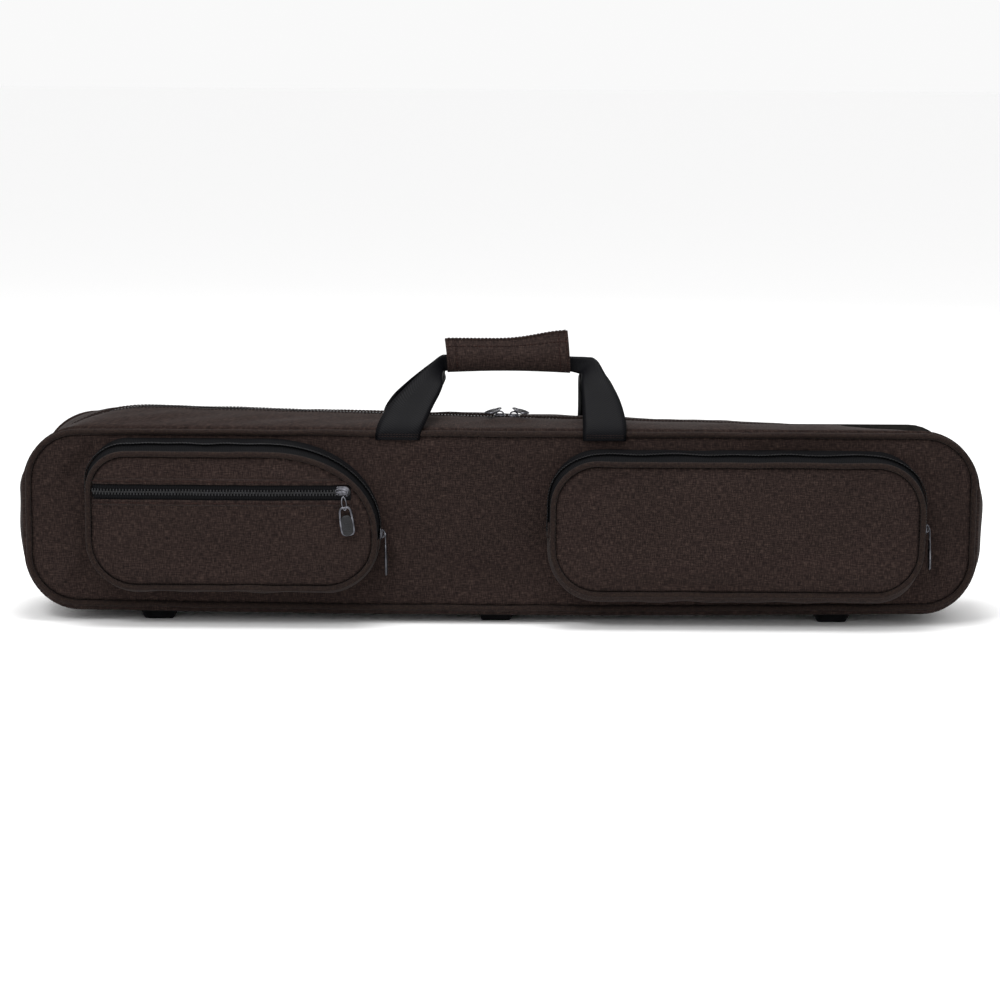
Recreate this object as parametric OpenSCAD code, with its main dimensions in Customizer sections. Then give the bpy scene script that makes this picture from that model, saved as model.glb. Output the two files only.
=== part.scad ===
// Soft cue case: two zipped half shells that open like a book along the base, two front pockets with
// zips of their own, and a pair of webbing handles held together by a wrapped grip.
// X runs along the case, -Y is the pocket side, +Z is up. The feet stand on Z = 0.

/* [Case body] */
// Length of the case at its middle, where the two shells meet
case_length = 868; // [840:2:900]
// Distance from the front panel to the rear panel
case_depth = 121.6; // [116:0.4:124]
// Height of the shell crown at the left end of the straight top
crown_left = 193; // [186:1:196]
// Height of the shell crown at the right end of the straight top
crown_right = 175; // [172:1:184]
// Height of the lowest shell face above the ground, which the feet fill
base_gap = 6; // [5:0.5:7]
// Radius of the shell's lower corners where the halves meet
crown_radius = 54; // [50:1:58]
// Length along the case of the shell's upper corners
crown_corner = 120; // [110:2:130]
// Height of the shell's upper corners
crown_drop = 80; // [70:1:88]
// Thickness of the padded gusset
gusset_wall = 5; // [4:0.5:6]

/* [Panels] */
// Length of a panel with its piping
seam_length = 856; // [850:1:858]
// Lowest point of a panel's piping
seam_low = 15; // [14:0.5:16]
// Top of a panel's piping
seam_top = 176; // [174:0.5:177]
// Corner radius of a panel's piping
seam_radius = 47; // [44:1:50]
// Thickness of a panel
panel_wall = 4; // [3:0.5:5]

/* [Pockets] */
// How far a pocket's face stands off the front panel
pocket_depth = 29; // [28:0.5:29]
// Thickness of a pocket's face and walls
pocket_wall = 3; // [2.5:0.5:3]
// How far a pocket's zip is from the front panel
pocket_zip_depth = 16; // [14:1:18]

/* [Handles] */
// Width of the handle webbing at its root
webbing_width = 40; // [36:1:42]
// Half the distance between the middles of the two roots of a handle
root_offset = 93; // [90:1:96]
// Length of the wrapped grip
grip_length = 112; // [108:1:116]
// Outer radius of the wrapped grip
grip_radius = 15; // [15:0.25:16]
// Height of the middle of the grip
grip_height = 236.8; // [236:0.2:238]

/* [Inside] */
// Width of the channel that holds a cue butt
butt_slot = 34; // [32:1:36]
// Width of the channel that holds a cue shaft
shaft_slot = 16; // [14:1:17]

/* [Hidden] */

$fn = 48;
fabric = "#3d302b";
lining_cloth = "#5a5552";
black = "#1b1b1d";
metal = "#6d6e72";
foam = "#4b4b50";

// Clearance of a sliding or hinged piece
gap = 0.3;
// Side of a box that is larger than the whole case
huge = 2000;

front_y = -45;
mid_y = front_y + case_depth / 2;
// Width of the zip tape on each shell, and height of its coil
tape_width = 6.2;
tape_y = mid_y - gap - tape_width;
coil_width = 2.6;
tape_wall = 1.5;
// The gusset starts behind the panel
panel_back = front_y + panel_wall;
// Height below which the shell has no zip
zip_low = 60;
// Half length and height of the strip sewn along the base
base_half = 366;
base_height = 40;
stiffener_wall = 2.5;
lining_wall = 2;
// Front face of the lining's back
lining_y = panel_back + stiffener_wall + lining_wall;

// A quarter of an ellipse with the radii rx and rz that starts at the angle from
function quarter(cx, cz, rx, rz, from, steps = 9) =
    [for (i = [0:steps]) [cx + rx * cos(from + 90 * i / steps), cz + rz * sin(from + 90 * i / steps)]];

function arc(cx, cz, r, from) = quarter(cx, cz, r, r, from);

function seam(inset) =
    let (x = seam_length / 2 - seam_radius, r = seam_radius - inset)
    concat(
        arc(x, seam_top - seam_radius, r, 0),
        arc(-x, seam_top - seam_radius, r, 90),
        arc(-x, seam_low + seam_radius, r, 180),
        arc(x, seam_low + seam_radius, r, 270));

// The line where the shells meet: its top slopes, and its upper corners are long and low
function crown(inset) =
    let (x = case_length / 2, rx = crown_corner - inset, rz = crown_drop - inset)
    concat(
        quarter(x - crown_corner, crown_right - crown_drop, rx, rz, 0),
        quarter(crown_corner - x, crown_left - crown_drop, rx, rz, 90),
        arc(crown_radius - x, base_gap + crown_radius, crown_radius - inset, 180),
        arc(x - crown_radius, base_gap + crown_radius, crown_radius - inset, 270));

// Height of the crown line above a place along the case
crown_slope = (crown_right - crown_left) / (case_length - 2 * crown_corner);
function crown_at(x) = (crown_left + crown_right) / 2 + crown_slope * x;

// A flat shape of the given outline from y0 to y1
module slab(points, y0, y1) {
    translate([0, y1, 0]) rotate([90, 0, 0]) linear_extrude(y1 - y0) polygon(points);
}

// A flat ring between two outlines
module ring(outer, inner, y0, y1) {
    difference() {
        slab(outer, y0, y1);
        slab(inner, y0 - 1, y1 + 1);
    }
}

// The solid between one outline at y0 and another with as many points at y1
module loft(a, y0, b, y1) {
    n = len(a);
    points = concat([for (p = a) [p[0], y0, p[1]]], [for (p = b) [p[0], y1, p[1]]]);
    walls = [for (i = [0:n - 1]) let (j = (i + 1) % n) each [[i, j, n + j], [i, n + j, n + i]]];
    ends = [[for (i = [n - 1:-1:0]) i], [for (i = [0:n - 1]) n + i]];
    polyhedron(points, concat(walls, ends));
}

// A box from its lowest to its highest corner
module block(low, high) {
    translate(low) cube(high - low);
}

// Turns a front piece into the matching rear piece
module to_rear() {
    translate([0, 2 * mid_y, 0]) mirror([0, 1, 0]) children();
}

// ---------------------------------------------------------------- half shells

module half_panel() {
    slab(seam(4), front_y, panel_back);
}

module half_piping() {
    ring(seam(0), seam(4), front_y - 1, panel_back);
}

// The padded wall from the panel to the crown, before it is cut into strips
module half_wall() {
    difference() {
        loft(seam(1), panel_back, crown(0), mid_y - gap);
        loft(seam(1 + gusset_wall), panel_back - 0.02, crown(gusset_wall), mid_y - gap + 0.02);
    }
}

module base_region() {
    block([-base_half, -huge, -1], [base_half, huge, base_height]);
}

// The wall above the base, with a recess for the zip tape
module half_gusset() {
    difference() {
        half_wall();
        base_region();
        block([-huge, tape_y, zip_low], [huge, mid_y, huge]);
    }
}

module half_base_strip() {
    intersection() {
        half_wall();
        base_region();
    }
}

module half_stiffener() {
    slab(seam(2 + gusset_wall), panel_back, panel_back + stiffener_wall);
}

// A tray that covers the inside of a shell, with a little room between it and the gusset
lining_inset = gusset_wall + 1.5;
lining_side_wall = 1.5;
module half_lining() {
    slab(seam(lining_inset + 1), panel_back + stiffener_wall, lining_y);
    difference() {
        loft(seam(lining_inset + 1), panel_back, crown(lining_inset), mid_y - 2);
        loft(seam(lining_inset + 1 + lining_side_wall), panel_back - 0.02,
            crown(lining_inset + lining_side_wall), mid_y - 1.98);
        block([-huge, -huge, -huge], [huge, lining_y, huge]);
    }
}

// The tape and the coil of one side of the main zip, round the top and both ends
module half_zip() {
    difference() {
        union() {
            ring(crown(1), crown(1 + tape_wall), tape_y, mid_y - gap - coil_width);
            ring(crown(0), crown(tape_wall * 2), mid_y - gap - coil_width, mid_y - gap);
        }
        block([-huge, -huge, -huge], [huge, huge, zip_low]);
    }
}

foot_places = [-311, -4, 302];
foot_top_half = 17;
foot_bottom_half = 13;
foot_top = seam_low + 1;
foot_y = [-30, -12];

// Moulded feet with sloping ends, shaped to the wall above them
module half_feet() {
    difference() {
        for (x = foot_places) {
            slab([
                [x - foot_bottom_half, 0], [x + foot_bottom_half, 0],
                [x + foot_top_half, foot_top], [x - foot_top_half, foot_top]
            ], foot_y[0], foot_y[1]);
        }
        loft(seam(1), panel_back, crown(0), mid_y - gap);
    }
}

module rear_panel() { color(fabric) to_rear() half_panel(); }
module rear_piping() { color(fabric) to_rear() half_piping(); }
module rear_gusset() { color(fabric) to_rear() half_gusset(); }
module rear_base_strip() { color(fabric) to_rear() half_base_strip(); }
module rear_stiffener() { color(foam) to_rear() half_stiffener(); }
module rear_lining() { color(lining_cloth) to_rear() half_lining(); }
module rear_zip_tape() { color(black) to_rear() half_zip(); }
module rear_feet() { color(black) to_rear() half_feet(); }
module front_panel() { color(fabric) half_panel(); }
module front_piping() { color(fabric) half_piping(); }
module front_gusset() { color(fabric) half_gusset(); }
module front_base_strip() { color(fabric) half_base_strip(); }
module front_stiffener() { color(foam) half_stiffener(); }
module front_lining() { color(lining_cloth) half_lining(); }
module front_zip_tape() { color(black) half_zip(); }
module front_feet() { color(black) half_feet(); }

// Binding over the fold of the base, sewn inside the rear shell
binding_y = [mid_y + 2.4, mid_y + 10];
binding_z = base_gap + gusset_wall + 5.4;
binding_wall = 1.4;
module hinge_tape() {
    color(black) block([-base_half, binding_y[0], binding_z],
        [base_half, binding_y[1], binding_z + binding_wall]);
}

// ---------------------------------------------------------------- inside

cradle_places = [-330, 0, 330];
cradle_half = 20;
cradle_low = 25;
cradle_high = 160;
butt_front = 26;
butt_floor_y = 2 * mid_y - lining_y;
butt_slot_y = 47;
butt_heights = [46, 92, 138];
shaft_front = -8;
shaft_slot_y = -18;
shaft_heights = [for (i = [0:5]) 35 + 23 * i];

// A foam comb with three round-bottomed channels along X
module butt_cradle(x) {
    color(foam) difference() {
        block([x - cradle_half, butt_front, cradle_low], [x + cradle_half, butt_floor_y, cradle_high]);
        for (z = butt_heights) {
            translate([x - cradle_half - 1, butt_slot_y, z]) rotate([0, 90, 0])
                cylinder(h = 2 * cradle_half + 2, d = butt_slot);
            block([x - cradle_half - 1, butt_front - 1, z - butt_slot / 2],
                [x + cradle_half + 1, butt_slot_y, z + butt_slot / 2]);
        }
    }
}

// A foam comb with six narrow channels along X
module shaft_cradle(x) {
    color(foam) difference() {
        block([x - cradle_half, lining_y, cradle_low], [x + cradle_half, shaft_front, cradle_high]);
        for (z = shaft_heights) {
            translate([x - cradle_half - 1, shaft_slot_y, z]) rotate([0, 90, 0])
                cylinder(h = 2 * cradle_half + 2, d = shaft_slot);
            block([x - cradle_half - 1, shaft_slot_y, z - shaft_slot / 2],
                [x + cradle_half + 1, shaft_front + 1, z + shaft_slot / 2]);
        }
    }
}

module butt_cradle_left() { butt_cradle(cradle_places[0]); }
module butt_cradle_middle() { butt_cradle(cradle_places[1]); }
module butt_cradle_right() { butt_cradle(cradle_places[2]); }
module shaft_cradle_left() { shaft_cradle(cradle_places[0]); }
module shaft_cradle_middle() { shaft_cradle(cradle_places[1]); }
module shaft_cradle_right() { shaft_cradle(cradle_places[2]); }

band_half = 12;
band_wall = 1.4;

// Elastic bands that close the channels of each comb
module butt_bands() {
    color(black) for (x = cradle_places) {
        block([x - band_half, butt_front - band_wall, cradle_low + 2],
            [x + band_half, butt_front, cradle_high - 2]);
    }
}

module shaft_bands() {
    color(black) for (x = cradle_places) {
        block([x - band_half, shaft_front, cradle_low + 2],
            [x + band_half, shaft_front + band_wall, cradle_high - 2]);
    }
}

// ---------------------------------------------------------------- pockets

pocket_face_y = front_y - pocket_depth;
pocket_face_back = pocket_face_y + pocket_wall;
pocket_piping_y = pocket_face_y - 1;
pocket_zip_y = front_y - pocket_zip_depth;
// The flaps turn about lines just in front of their piping
flap_hinge_y = pocket_piping_y - 0.2;

left_box = [-370, 35, -110, 163];
left_sweep = [97, 71];
left_top_radius = 35;
left_low_radius = 45;
// Points of the line that the left flap folds along, where its zip ends
left_fold = [[-370, 117], [-110, 76]];
right_box = [44, 31, 378, 153];
right_radius = 43;
right_fold = [[44, 84], [378, 84]];

function left_outline(inset) = concat(
    quarter(left_box[2] - left_sweep[0], left_box[3] - left_sweep[1],
        left_sweep[0] - inset, left_sweep[1] - inset, 0),
    arc(left_box[0] + left_top_radius, left_box[3] - left_top_radius, left_top_radius - inset, 90),
    arc(left_box[0] + left_low_radius, left_box[1] + left_low_radius, left_low_radius - inset, 180),
    arc(left_box[2] - left_low_radius, left_box[1] + left_low_radius, left_low_radius - inset, 270));

function right_outline(inset) = concat(
    arc(right_box[2] - right_radius, right_box[3] - right_radius, right_radius - inset, 0),
    arc(right_box[0] + right_radius, right_box[3] - right_radius, right_radius - inset, 90),
    arc(right_box[0] + right_radius, right_box[1] + right_radius, right_radius - inset, 180),
    arc(right_box[2] - right_radius, right_box[1] + right_radius, right_radius - inset, 270));

// Everything above a fold line by the clearance
module above(fold) {
    dir = fold[1] - fold[0];
    intersection() {
        children();
        translate([fold[0][0], 0, fold[0][1]]) rotate([0, -atan2(dir[1], dir[0]), 0])
            block([-huge / 2, -huge / 2, gap], [huge / 2, huge / 2, huge / 2]);
    }
}

// Everything below a fold line by the clearance
module below(fold) {
    dir = fold[1] - fold[0];
    intersection() {
        children();
        translate([fold[0][0], 0, fold[0][1]]) rotate([0, -atan2(dir[1], dir[0]), 0])
            block([-huge / 2, -huge / 2, -huge / 2], [huge / 2, huge / 2, -gap]);
    }
}

// The sewn lower part of a pocket: its wall and the lower face
module pouch(outer, wall, face, fold) {
    color(fabric) below(fold) {
        union() {
            ring(outer, wall, pocket_face_back, front_y);
            slab(face, pocket_face_y, pocket_face_back);
        }
    }
}

module left_pouch() { pouch(left_outline(1), left_outline(4), left_outline(4), left_fold); }
module right_pouch() { pouch(right_outline(1), right_outline(4), right_outline(4), right_fold); }

module left_pouch_piping() {
    color(fabric) below(left_fold)
        ring(left_outline(0), left_outline(4), pocket_piping_y, pocket_face_back);
}

module right_pouch_piping() {
    color(fabric) below(right_fold)
        ring(right_outline(0), right_outline(4), pocket_piping_y, pocket_face_back);
}

// The half of a pocket's zip that is sewn to the case
module left_zip_inner() {
    color(black) above(left_fold)
        ring(left_outline(1), left_outline(4), pocket_zip_y + gap, front_y);
}

module right_zip_inner() {
    color(black) above(right_fold)
        ring(right_outline(1), right_outline(4), pocket_zip_y + gap, front_y);
}

face_zip_low = [-364, 118];
face_zip_high = [-134, 132];

module left_flap() {
    color(fabric) difference() {
        above(left_fold) slab(left_outline(4), pocket_face_y, pocket_face_back);
        block([face_zip_low[0], -huge, face_zip_low[1]], [face_zip_high[0], huge, face_zip_high[1]]);
    }
}

module right_flap() {
    color(fabric) above(right_fold) slab(right_outline(4), pocket_face_y, pocket_face_back);
}

module left_flap_piping() {
    color(fabric) above(left_fold)
        ring(left_outline(0), left_outline(4), pocket_piping_y, pocket_face_back);
}

module right_flap_piping() {
    color(fabric) above(right_fold)
        ring(right_outline(0), right_outline(4), pocket_piping_y, pocket_face_back);
}

// The half of a pocket's zip that lifts with the flap
module left_zip_outer() {
    color(black) above(left_fold)
        ring(left_outline(1), left_outline(4), pocket_face_back, pocket_zip_y - gap);
}

module right_zip_outer() {
    color(black) above(right_fold)
        ring(right_outline(1), right_outline(4), pocket_face_back, pocket_zip_y - gap);
}

// The straight zip across the left flap, with its coil standing proud
face_coil_y = pocket_face_y - 1.2;
face_coil_half = 1.6;
module left_face_zip() {
    middle = (face_zip_low[1] + face_zip_high[1]) / 2;
    color(black) union() {
        block([face_zip_low[0], pocket_face_y, face_zip_low[1]],
            [face_zip_high[0], pocket_face_back - 1, face_zip_high[1]]);
        block([face_zip_low[0], face_coil_y, middle - face_coil_half],
            [face_zip_high[0], pocket_face_y, middle + face_coil_half]);
    }
}

// The cloth behind the straight zip, which makes the flap a flat pocket
liner_space = 3;
liner_wall = 1;
liner_rise = [0, 6];
module left_face_liner() {
    color(lining_cloth) above([left_fold[0] + liner_rise, left_fold[1] + liner_rise])
        slab(left_outline(4), pocket_face_back + liner_space, pocket_face_back + liner_space + liner_wall);
}

// ---------------------------------------------------------------- sliders and pulls

// Size of a main slider, with its roof, the bridge on it and the cheek behind the coils
main_slider_length = 12.4;
main_slider_half = 4;
roof_height = 2.4;
bridge_height = 1.6;
bridge_half = 1.2;
bridge_inset = 3;
cheek_wall = 0.7;
cheek_height = 1;
// The two main sliders meet just right of the middle
main_meet_x = 5;
slider_lift = 0.4;

// A main slider: a roof over both coils and a cheek outside the rear coil
module main_slider(x) {
    top = crown_at(x + main_slider_length / 2) + slider_lift;
    color(metal) union() {
        block([x, mid_y - main_slider_half, top],
            [x + main_slider_length, mid_y + main_slider_half, top + roof_height]);
        block([x + bridge_inset, mid_y - bridge_half, top + roof_height],
            [x + main_slider_length - bridge_inset, mid_y + bridge_half, top + roof_height + bridge_height]);
        block([x, mid_y + main_slider_half - cheek_wall, top - cheek_height],
            [x + main_slider_length, mid_y + main_slider_half, top]);
    }
}

module main_slider_left() { main_slider(main_meet_x - main_slider_length - gap); }
module main_slider_right() { main_slider(main_meet_x + gap); }

main_pull_length = 20;
main_pull_half = 4.5;
// Where a main pull starts from its pivot, how far the pivot is in front of the zip, and how far the pull
// turns forward and hangs down from it
main_pull_start = 2;
main_pull_forward = 3;
main_pull_turn = 60;
main_pull_droop = 6;
pull_wall = 1.6;
// Length left solid at a pull's ends, and half the width of its slot
slot_margin = 4;
slot_half = 2;
main_pull_z = crown_at(main_meet_x) + slider_lift + roof_height + bridge_height + 2 * gap;

// A flat tab with a slot for its wire loop, lying over the zip and the front gusset
module main_pull(x, turn) {
    far = main_pull_start + main_pull_length;
    pivot = [x, mid_y - main_pull_forward, main_pull_z];
    color(metal) translate(pivot) rotate([0, main_pull_droop, turn]) difference() {
        block([main_pull_start, -main_pull_half, 0], [far, main_pull_half, pull_wall]);
        block([main_pull_start + slot_margin, -slot_half, -1], [far - slot_margin, slot_half, pull_wall + 1]);
    }
}

module main_pull_left() { main_pull(main_meet_x - gap - main_slider_length / 2, 180 + main_pull_turn); }
module main_pull_right() { main_pull(main_meet_x + gap + main_slider_length / 2, -main_pull_turn); }

side_slider_wall = 3.6;
side_slider_half = 5;
side_pull_half = 4;
side_slot_length = 8;
// Lowest and highest point of each side slider and of its pull
left_slider_z = [79, 91];
left_pull_z = [46, 80];
right_slider_z = [86, 99];
right_pull_z = [54, 87];

// A slider on the side of a pocket
module side_slider(x, z) {
    color(metal) block([x + slider_lift, pocket_zip_y - side_slider_half, z[0]],
        [x + slider_lift + side_slider_wall, pocket_zip_y + side_slider_half, z[1]]);
}

// A hanging tab with a slot near its top
module side_pull(x, z) {
    front = x + slider_lift + side_slider_wall + gap;
    color(metal) difference() {
        block([front, pocket_zip_y - side_pull_half, z[0]],
            [front + pull_wall, pocket_zip_y + side_pull_half, z[1]]);
        block([front - 1, pocket_zip_y - slot_half, z[1] - slot_margin - side_slot_length],
            [front + pull_wall + 1, pocket_zip_y + slot_half, z[1] - slot_margin]);
    }
}

module left_slider() { side_slider(left_box[2], left_slider_z); }
module left_pull() { side_pull(left_box[2], left_pull_z); }
module right_slider() { side_slider(right_box[2], right_slider_z); }
module right_pull() { side_pull(right_box[2], right_pull_z); }

face_slider_x = [-150, -134];
face_slider_z = [120, 130];
face_slider_y = face_coil_y - gap;
face_slider_wall = 2.5;
face_pull_x = [-146, -134];
face_pull_z = [88, 120];
face_pull_y = [-80, -78.3];
face_slot_inset = 3;

module face_slider() {
    color(metal) block([face_slider_x[0], face_slider_y - face_slider_wall, face_slider_z[0]],
        [face_slider_x[1], face_slider_y, face_slider_z[1]]);
}

module face_pull() {
    slot_top = face_pull_z[1] - slot_margin;
    color(metal) difference() {
        block([face_pull_x[0], face_pull_y[0], face_pull_z[0]],
            [face_pull_x[1], face_pull_y[1], face_pull_z[1]]);
        block([face_pull_x[0] + face_slot_inset, face_pull_y[0] - 1, slot_top - side_slot_length],
            [face_pull_x[1] - face_slot_inset, face_pull_y[1] + 1, slot_top]);
    }
}

// ---------------------------------------------------------------- handles

webbing_half = 1;
root_y = front_y - 2.4;
root_z = seam_top - 5;
grip_x = 6.5;
grip_run_y = mid_y - 3;
grip_run = [226, 238];

// Edges of the left half of a handle, outer edge then inner edge, from the root to the grip
left_edges = [
    [[-root_offset - webbing_width / 2, root_y, root_z], [-root_offset + webbing_width / 2, root_y, root_z]],
    [[-root_offset - webbing_width / 2, root_y, root_z + 7],
        [-root_offset + webbing_width / 2, root_y, root_z + 7]],
    [[-102, -27, 196], [-63, -27, 196]],
    [[-82, -6, 215], [-54, -8, 209]],
    [[-64, 9, 232], [-55, 9, 221]],
    [[-53, grip_run_y, grip_run[1]], [-52, grip_run_y, grip_run[0]]]
];
// The right half is the left half mirrored and taken in reverse, and leans over to the grip's right end
right_lean = [0, 0, 6, 10, 2 * grip_x, 2 * grip_x];
all_edges = concat(left_edges,
    [for (i = [len(left_edges) - 1:-1:0]) [for (p = left_edges[i]) [right_lean[i] - p[0], p[1], p[2]]]]);

function unit(v) = v / norm(v);

// Corners of the band at one station: the two edges, each half a thickness to either side
function band_corners(i, edges) =
    let (last = len(edges) - 1,
        mid = [for (e = edges) (e[0] + e[1]) / 2],
        dir = mid[min(i + 1, last)] - mid[max(i - 1, 0)],
        side = unit(cross(dir, edges[i][1] - edges[i][0])) * webbing_half)
    [edges[i][0] - side, edges[i][1] - side, edges[i][1] + side, edges[i][0] + side];

// A band of constant thickness through a row of edge pairs
module band(edges) {
    last = len(edges) - 1;
    points = [for (i = [0:last], p = band_corners(i, edges)) p];
    walls = [for (i = [0:last - 1], k = [0:3])
        let (a = 4 * i + k, b = 4 * i + (k + 1) % 4)
        each [[a, a + 4, b + 4], [a, b + 4, b]]];
    end = 4 * last;
    ends = [[0, 1, 2], [0, 2, 3], [end + 2, end + 1, end], [end + 3, end + 2, end]];
    polyhedron(points, concat(walls, ends));
}

module front_webbing() { color(black) band(all_edges); }
module rear_webbing() { color(black) to_rear() band(all_edges); }

grip_wall = 2.5;
// Angles about the grip, from +Y through the top, where the two halves of the wrap start and end
front_angles = [91.5, 255.5];
rear_angles = [262, 448];

// Part of a tube along X between two angles
module tube_part(inner, outer, angles, length) {
    far = outer * 3;
    middle = (angles[0] + angles[1]) / 2;
    translate([grip_x - length / 2, mid_y, grip_height]) rotate([90, 0, 90]) intersection() {
        difference() {
            cylinder(h = length, r = outer);
            translate([0, 0, -1]) cylinder(h = length + 2, r = inner);
        }
        linear_extrude(length) polygon([
            [0, 0],
            for (i = [0:4]) let (a = angles[0] + (angles[1] - angles[0]) * i / 4) [far * cos(a), far * sin(a)]
        ]);
    }
}

module grip_front() {
    color(fabric) tube_part(grip_radius - grip_wall, grip_radius, front_angles, grip_length);
}

module grip_rear() {
    color(fabric) tube_part(grip_radius - grip_wall, grip_radius, rear_angles, grip_length);
}

// Hook tape inside the free edge of the wrap, and the loop tape on the webbing that it grips
hook_wall = 0.8;
hook_angles = [110, 150];
hook_length = 90;
loop_wall = 1;
loop_x = [grip_x - 40, grip_x + 34];
module grip_hook_tape() {
    color(black) tube_part(grip_radius - grip_wall - hook_wall, grip_radius - grip_wall, hook_angles,
        hook_length);
}

module grip_loop_tape() {
    color(black) block([loop_x[0], grip_run_y - webbing_half - loop_wall, grip_run[0] + 2],
        [loop_x[1], grip_run_y - webbing_half, grip_run[1] - 2]);
}

rear_panel();
rear_piping();
rear_gusset();
rear_base_strip();
rear_stiffener();
rear_lining();
rear_zip_tape();
rear_feet();
hinge_tape();
butt_cradle_left();
butt_cradle_middle();
butt_cradle_right();
butt_bands();
front_panel();
front_piping();
front_gusset();
front_base_strip();
front_stiffener();
front_lining();
front_zip_tape();
front_feet();
shaft_cradle_left();
shaft_cradle_middle();
shaft_cradle_right();
shaft_bands();
left_pouch();
left_pouch_piping();
left_zip_inner();
left_flap();
left_flap_piping();
left_zip_outer();
left_face_zip();
left_face_liner();
right_pouch();
right_pouch_piping();
right_zip_inner();
right_flap();
right_flap_piping();
right_zip_outer();
main_slider_left();
main_pull_left();
main_slider_right();
main_pull_right();
left_slider();
left_pull();
right_slider();
right_pull();
face_slider();
face_pull();
front_webbing();
rear_webbing();
grip_front();
grip_rear();
grip_hook_tape();
grip_loop_tape();
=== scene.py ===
"""Looks of a soft cue case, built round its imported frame: cloth shells, pockets, zips, handles and inside."""

import logging
import math
from dataclasses import dataclass
from enum import Enum
from typing import Sequence

import bpy
import numpy as np
from mathutils import Matrix, Vector


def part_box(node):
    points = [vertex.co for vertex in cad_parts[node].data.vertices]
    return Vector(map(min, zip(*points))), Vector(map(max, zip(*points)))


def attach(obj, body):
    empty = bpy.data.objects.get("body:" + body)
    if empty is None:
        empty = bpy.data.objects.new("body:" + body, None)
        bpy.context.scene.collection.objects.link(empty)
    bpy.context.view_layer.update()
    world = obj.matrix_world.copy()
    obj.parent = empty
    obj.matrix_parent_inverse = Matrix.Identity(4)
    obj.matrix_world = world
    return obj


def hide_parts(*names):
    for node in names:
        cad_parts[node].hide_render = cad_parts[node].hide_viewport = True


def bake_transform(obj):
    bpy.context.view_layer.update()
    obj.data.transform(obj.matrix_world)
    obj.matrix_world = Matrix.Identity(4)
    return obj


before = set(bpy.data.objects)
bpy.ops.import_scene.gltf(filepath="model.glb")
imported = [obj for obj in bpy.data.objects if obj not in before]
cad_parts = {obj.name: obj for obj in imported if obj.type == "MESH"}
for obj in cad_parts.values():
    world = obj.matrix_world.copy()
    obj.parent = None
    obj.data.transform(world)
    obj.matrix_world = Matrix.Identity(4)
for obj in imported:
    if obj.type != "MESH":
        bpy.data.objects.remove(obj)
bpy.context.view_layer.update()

Array = np.ndarray
Point = tuple[float, float, float]
log = logging.getLogger("cue_case")
MM = 0.001
UP = np.array([0.0, 0.0, 1.0])
BACK = np.array([0.0, 1.0, 0.0])

# The plane where the two shells meet, and the fronts of the panels, from the frame
MIDDLE_Y = (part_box("front_zip_tape")[1].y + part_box("rear_zip_tape")[0].y) / 2
PANEL_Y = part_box("front_panel")[0].y
HALF_DEPTH = MIDDLE_Y - PANEL_Y
# A point inside the case, which the skins of its shells face away from
CORE = (0, MIDDLE_Y, 0.09)
# How far behind the panel's front the gusset's cloth starts
WALL_START = 3.8 * MM
# Thicknesses of the thin sheets: a zip's tape, and the lining
TAPE_SHEET = 0.8 * MM
LINING_SHEET = 0.8 * MM
# Distance between teeth on one side of the main zip, and of the smaller ones
MAIN_PITCH = 3.0 * MM
SMALL_PITCH = 2.8 * MM
# How far stitches stand off the cloth under them
STITCH_LIFT = 0.3 * MM


# ---------------------------------------------------------------- numbers and curves


def smooth(value: Array, low: float, high: float) -> Array:
    """A value eased from 0 at low to 1 at high, as 3t squared less 2t cubed.

    Args:
        value: Any numbers.
        low: Where the result is 0.
        high: Where the result is 1.

    Returns:
        Numbers from 0 to 1.
    """
    t = np.clip((np.asarray(value, float) - low) / (high - low), 0, 1)
    return t * t * (3 - 2 * t)


def unit(vectors: Array) -> Array:
    """Vectors scaled to length one."""
    return vectors / np.maximum(np.linalg.norm(vectors, axis=-1, keepdims=True), 1e-12)


def curve(points: Sequence[Sequence[float]], count: int) -> Array:
    """A smooth line through given points: each span is a cubic whose end slopes follow its neighbours.

    Args:
        points: The points that the line passes through.
        count: How many points to return.

    Returns:
        Evenly parted points along the line.
    """
    p = np.asarray(points, float)
    p = np.vstack([2 * p[0] - p[1], p, 2 * p[-1] - p[-2]])
    t = np.linspace(0, len(points) - 1 - 1e-9, count)
    i = t.astype(int)
    f = (t - i)[:, None]
    a, b, c, d = p[i], p[i + 1], p[i + 2], p[i + 3]
    return 0.5 * (2 * b + (c - a) * f + (2 * a - 5 * b + 4 * c - d) * f**2 + (3 * b - a - 3 * c + d) * f**3)


def spaced(path: Array, step: float, *riders: Array) -> list[Array]:
    """Points at even distances along a path, with other rows of values taken along.

    Args:
        path: Points of an open line.
        step: The distance between the points returned.
        riders: Values given for each point of the path, such as normals.

    Returns:
        The new points, then each rider at them.
    """
    along = np.concatenate([[0], np.cumsum(np.linalg.norm(np.diff(path, axis=0), axis=1))])
    at = np.arange(step / 2, along[-1], step)
    return [np.stack([np.interp(at, along, row[:, k]) for k in range(row.shape[1])], 1)
            for row in (path, *riders)]


def slope(path: Array, closed: bool = False) -> Array:
    """Unit directions along a path."""
    if closed:
        return unit(np.roll(path, -1, 0) - np.roll(path, 1, 0))
    return unit(np.gradient(path, axis=0))


def superellipse(power: float, sides: int) -> tuple[Array, Array]:
    """A ring between a circle, of power 2, and a square, of high power, with a half width of one.

    Args:
        power: How square the ring is.
        sides: How many points it has.

    Returns:
        X and Y of the points.
    """
    t = np.linspace(0, 2 * math.pi, sides, endpoint=False)
    c, s = np.cos(t), np.sin(t)
    r = (np.abs(c) ** power + np.abs(s) ** power) ** (-1 / power)
    return r * c, r * s


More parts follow.
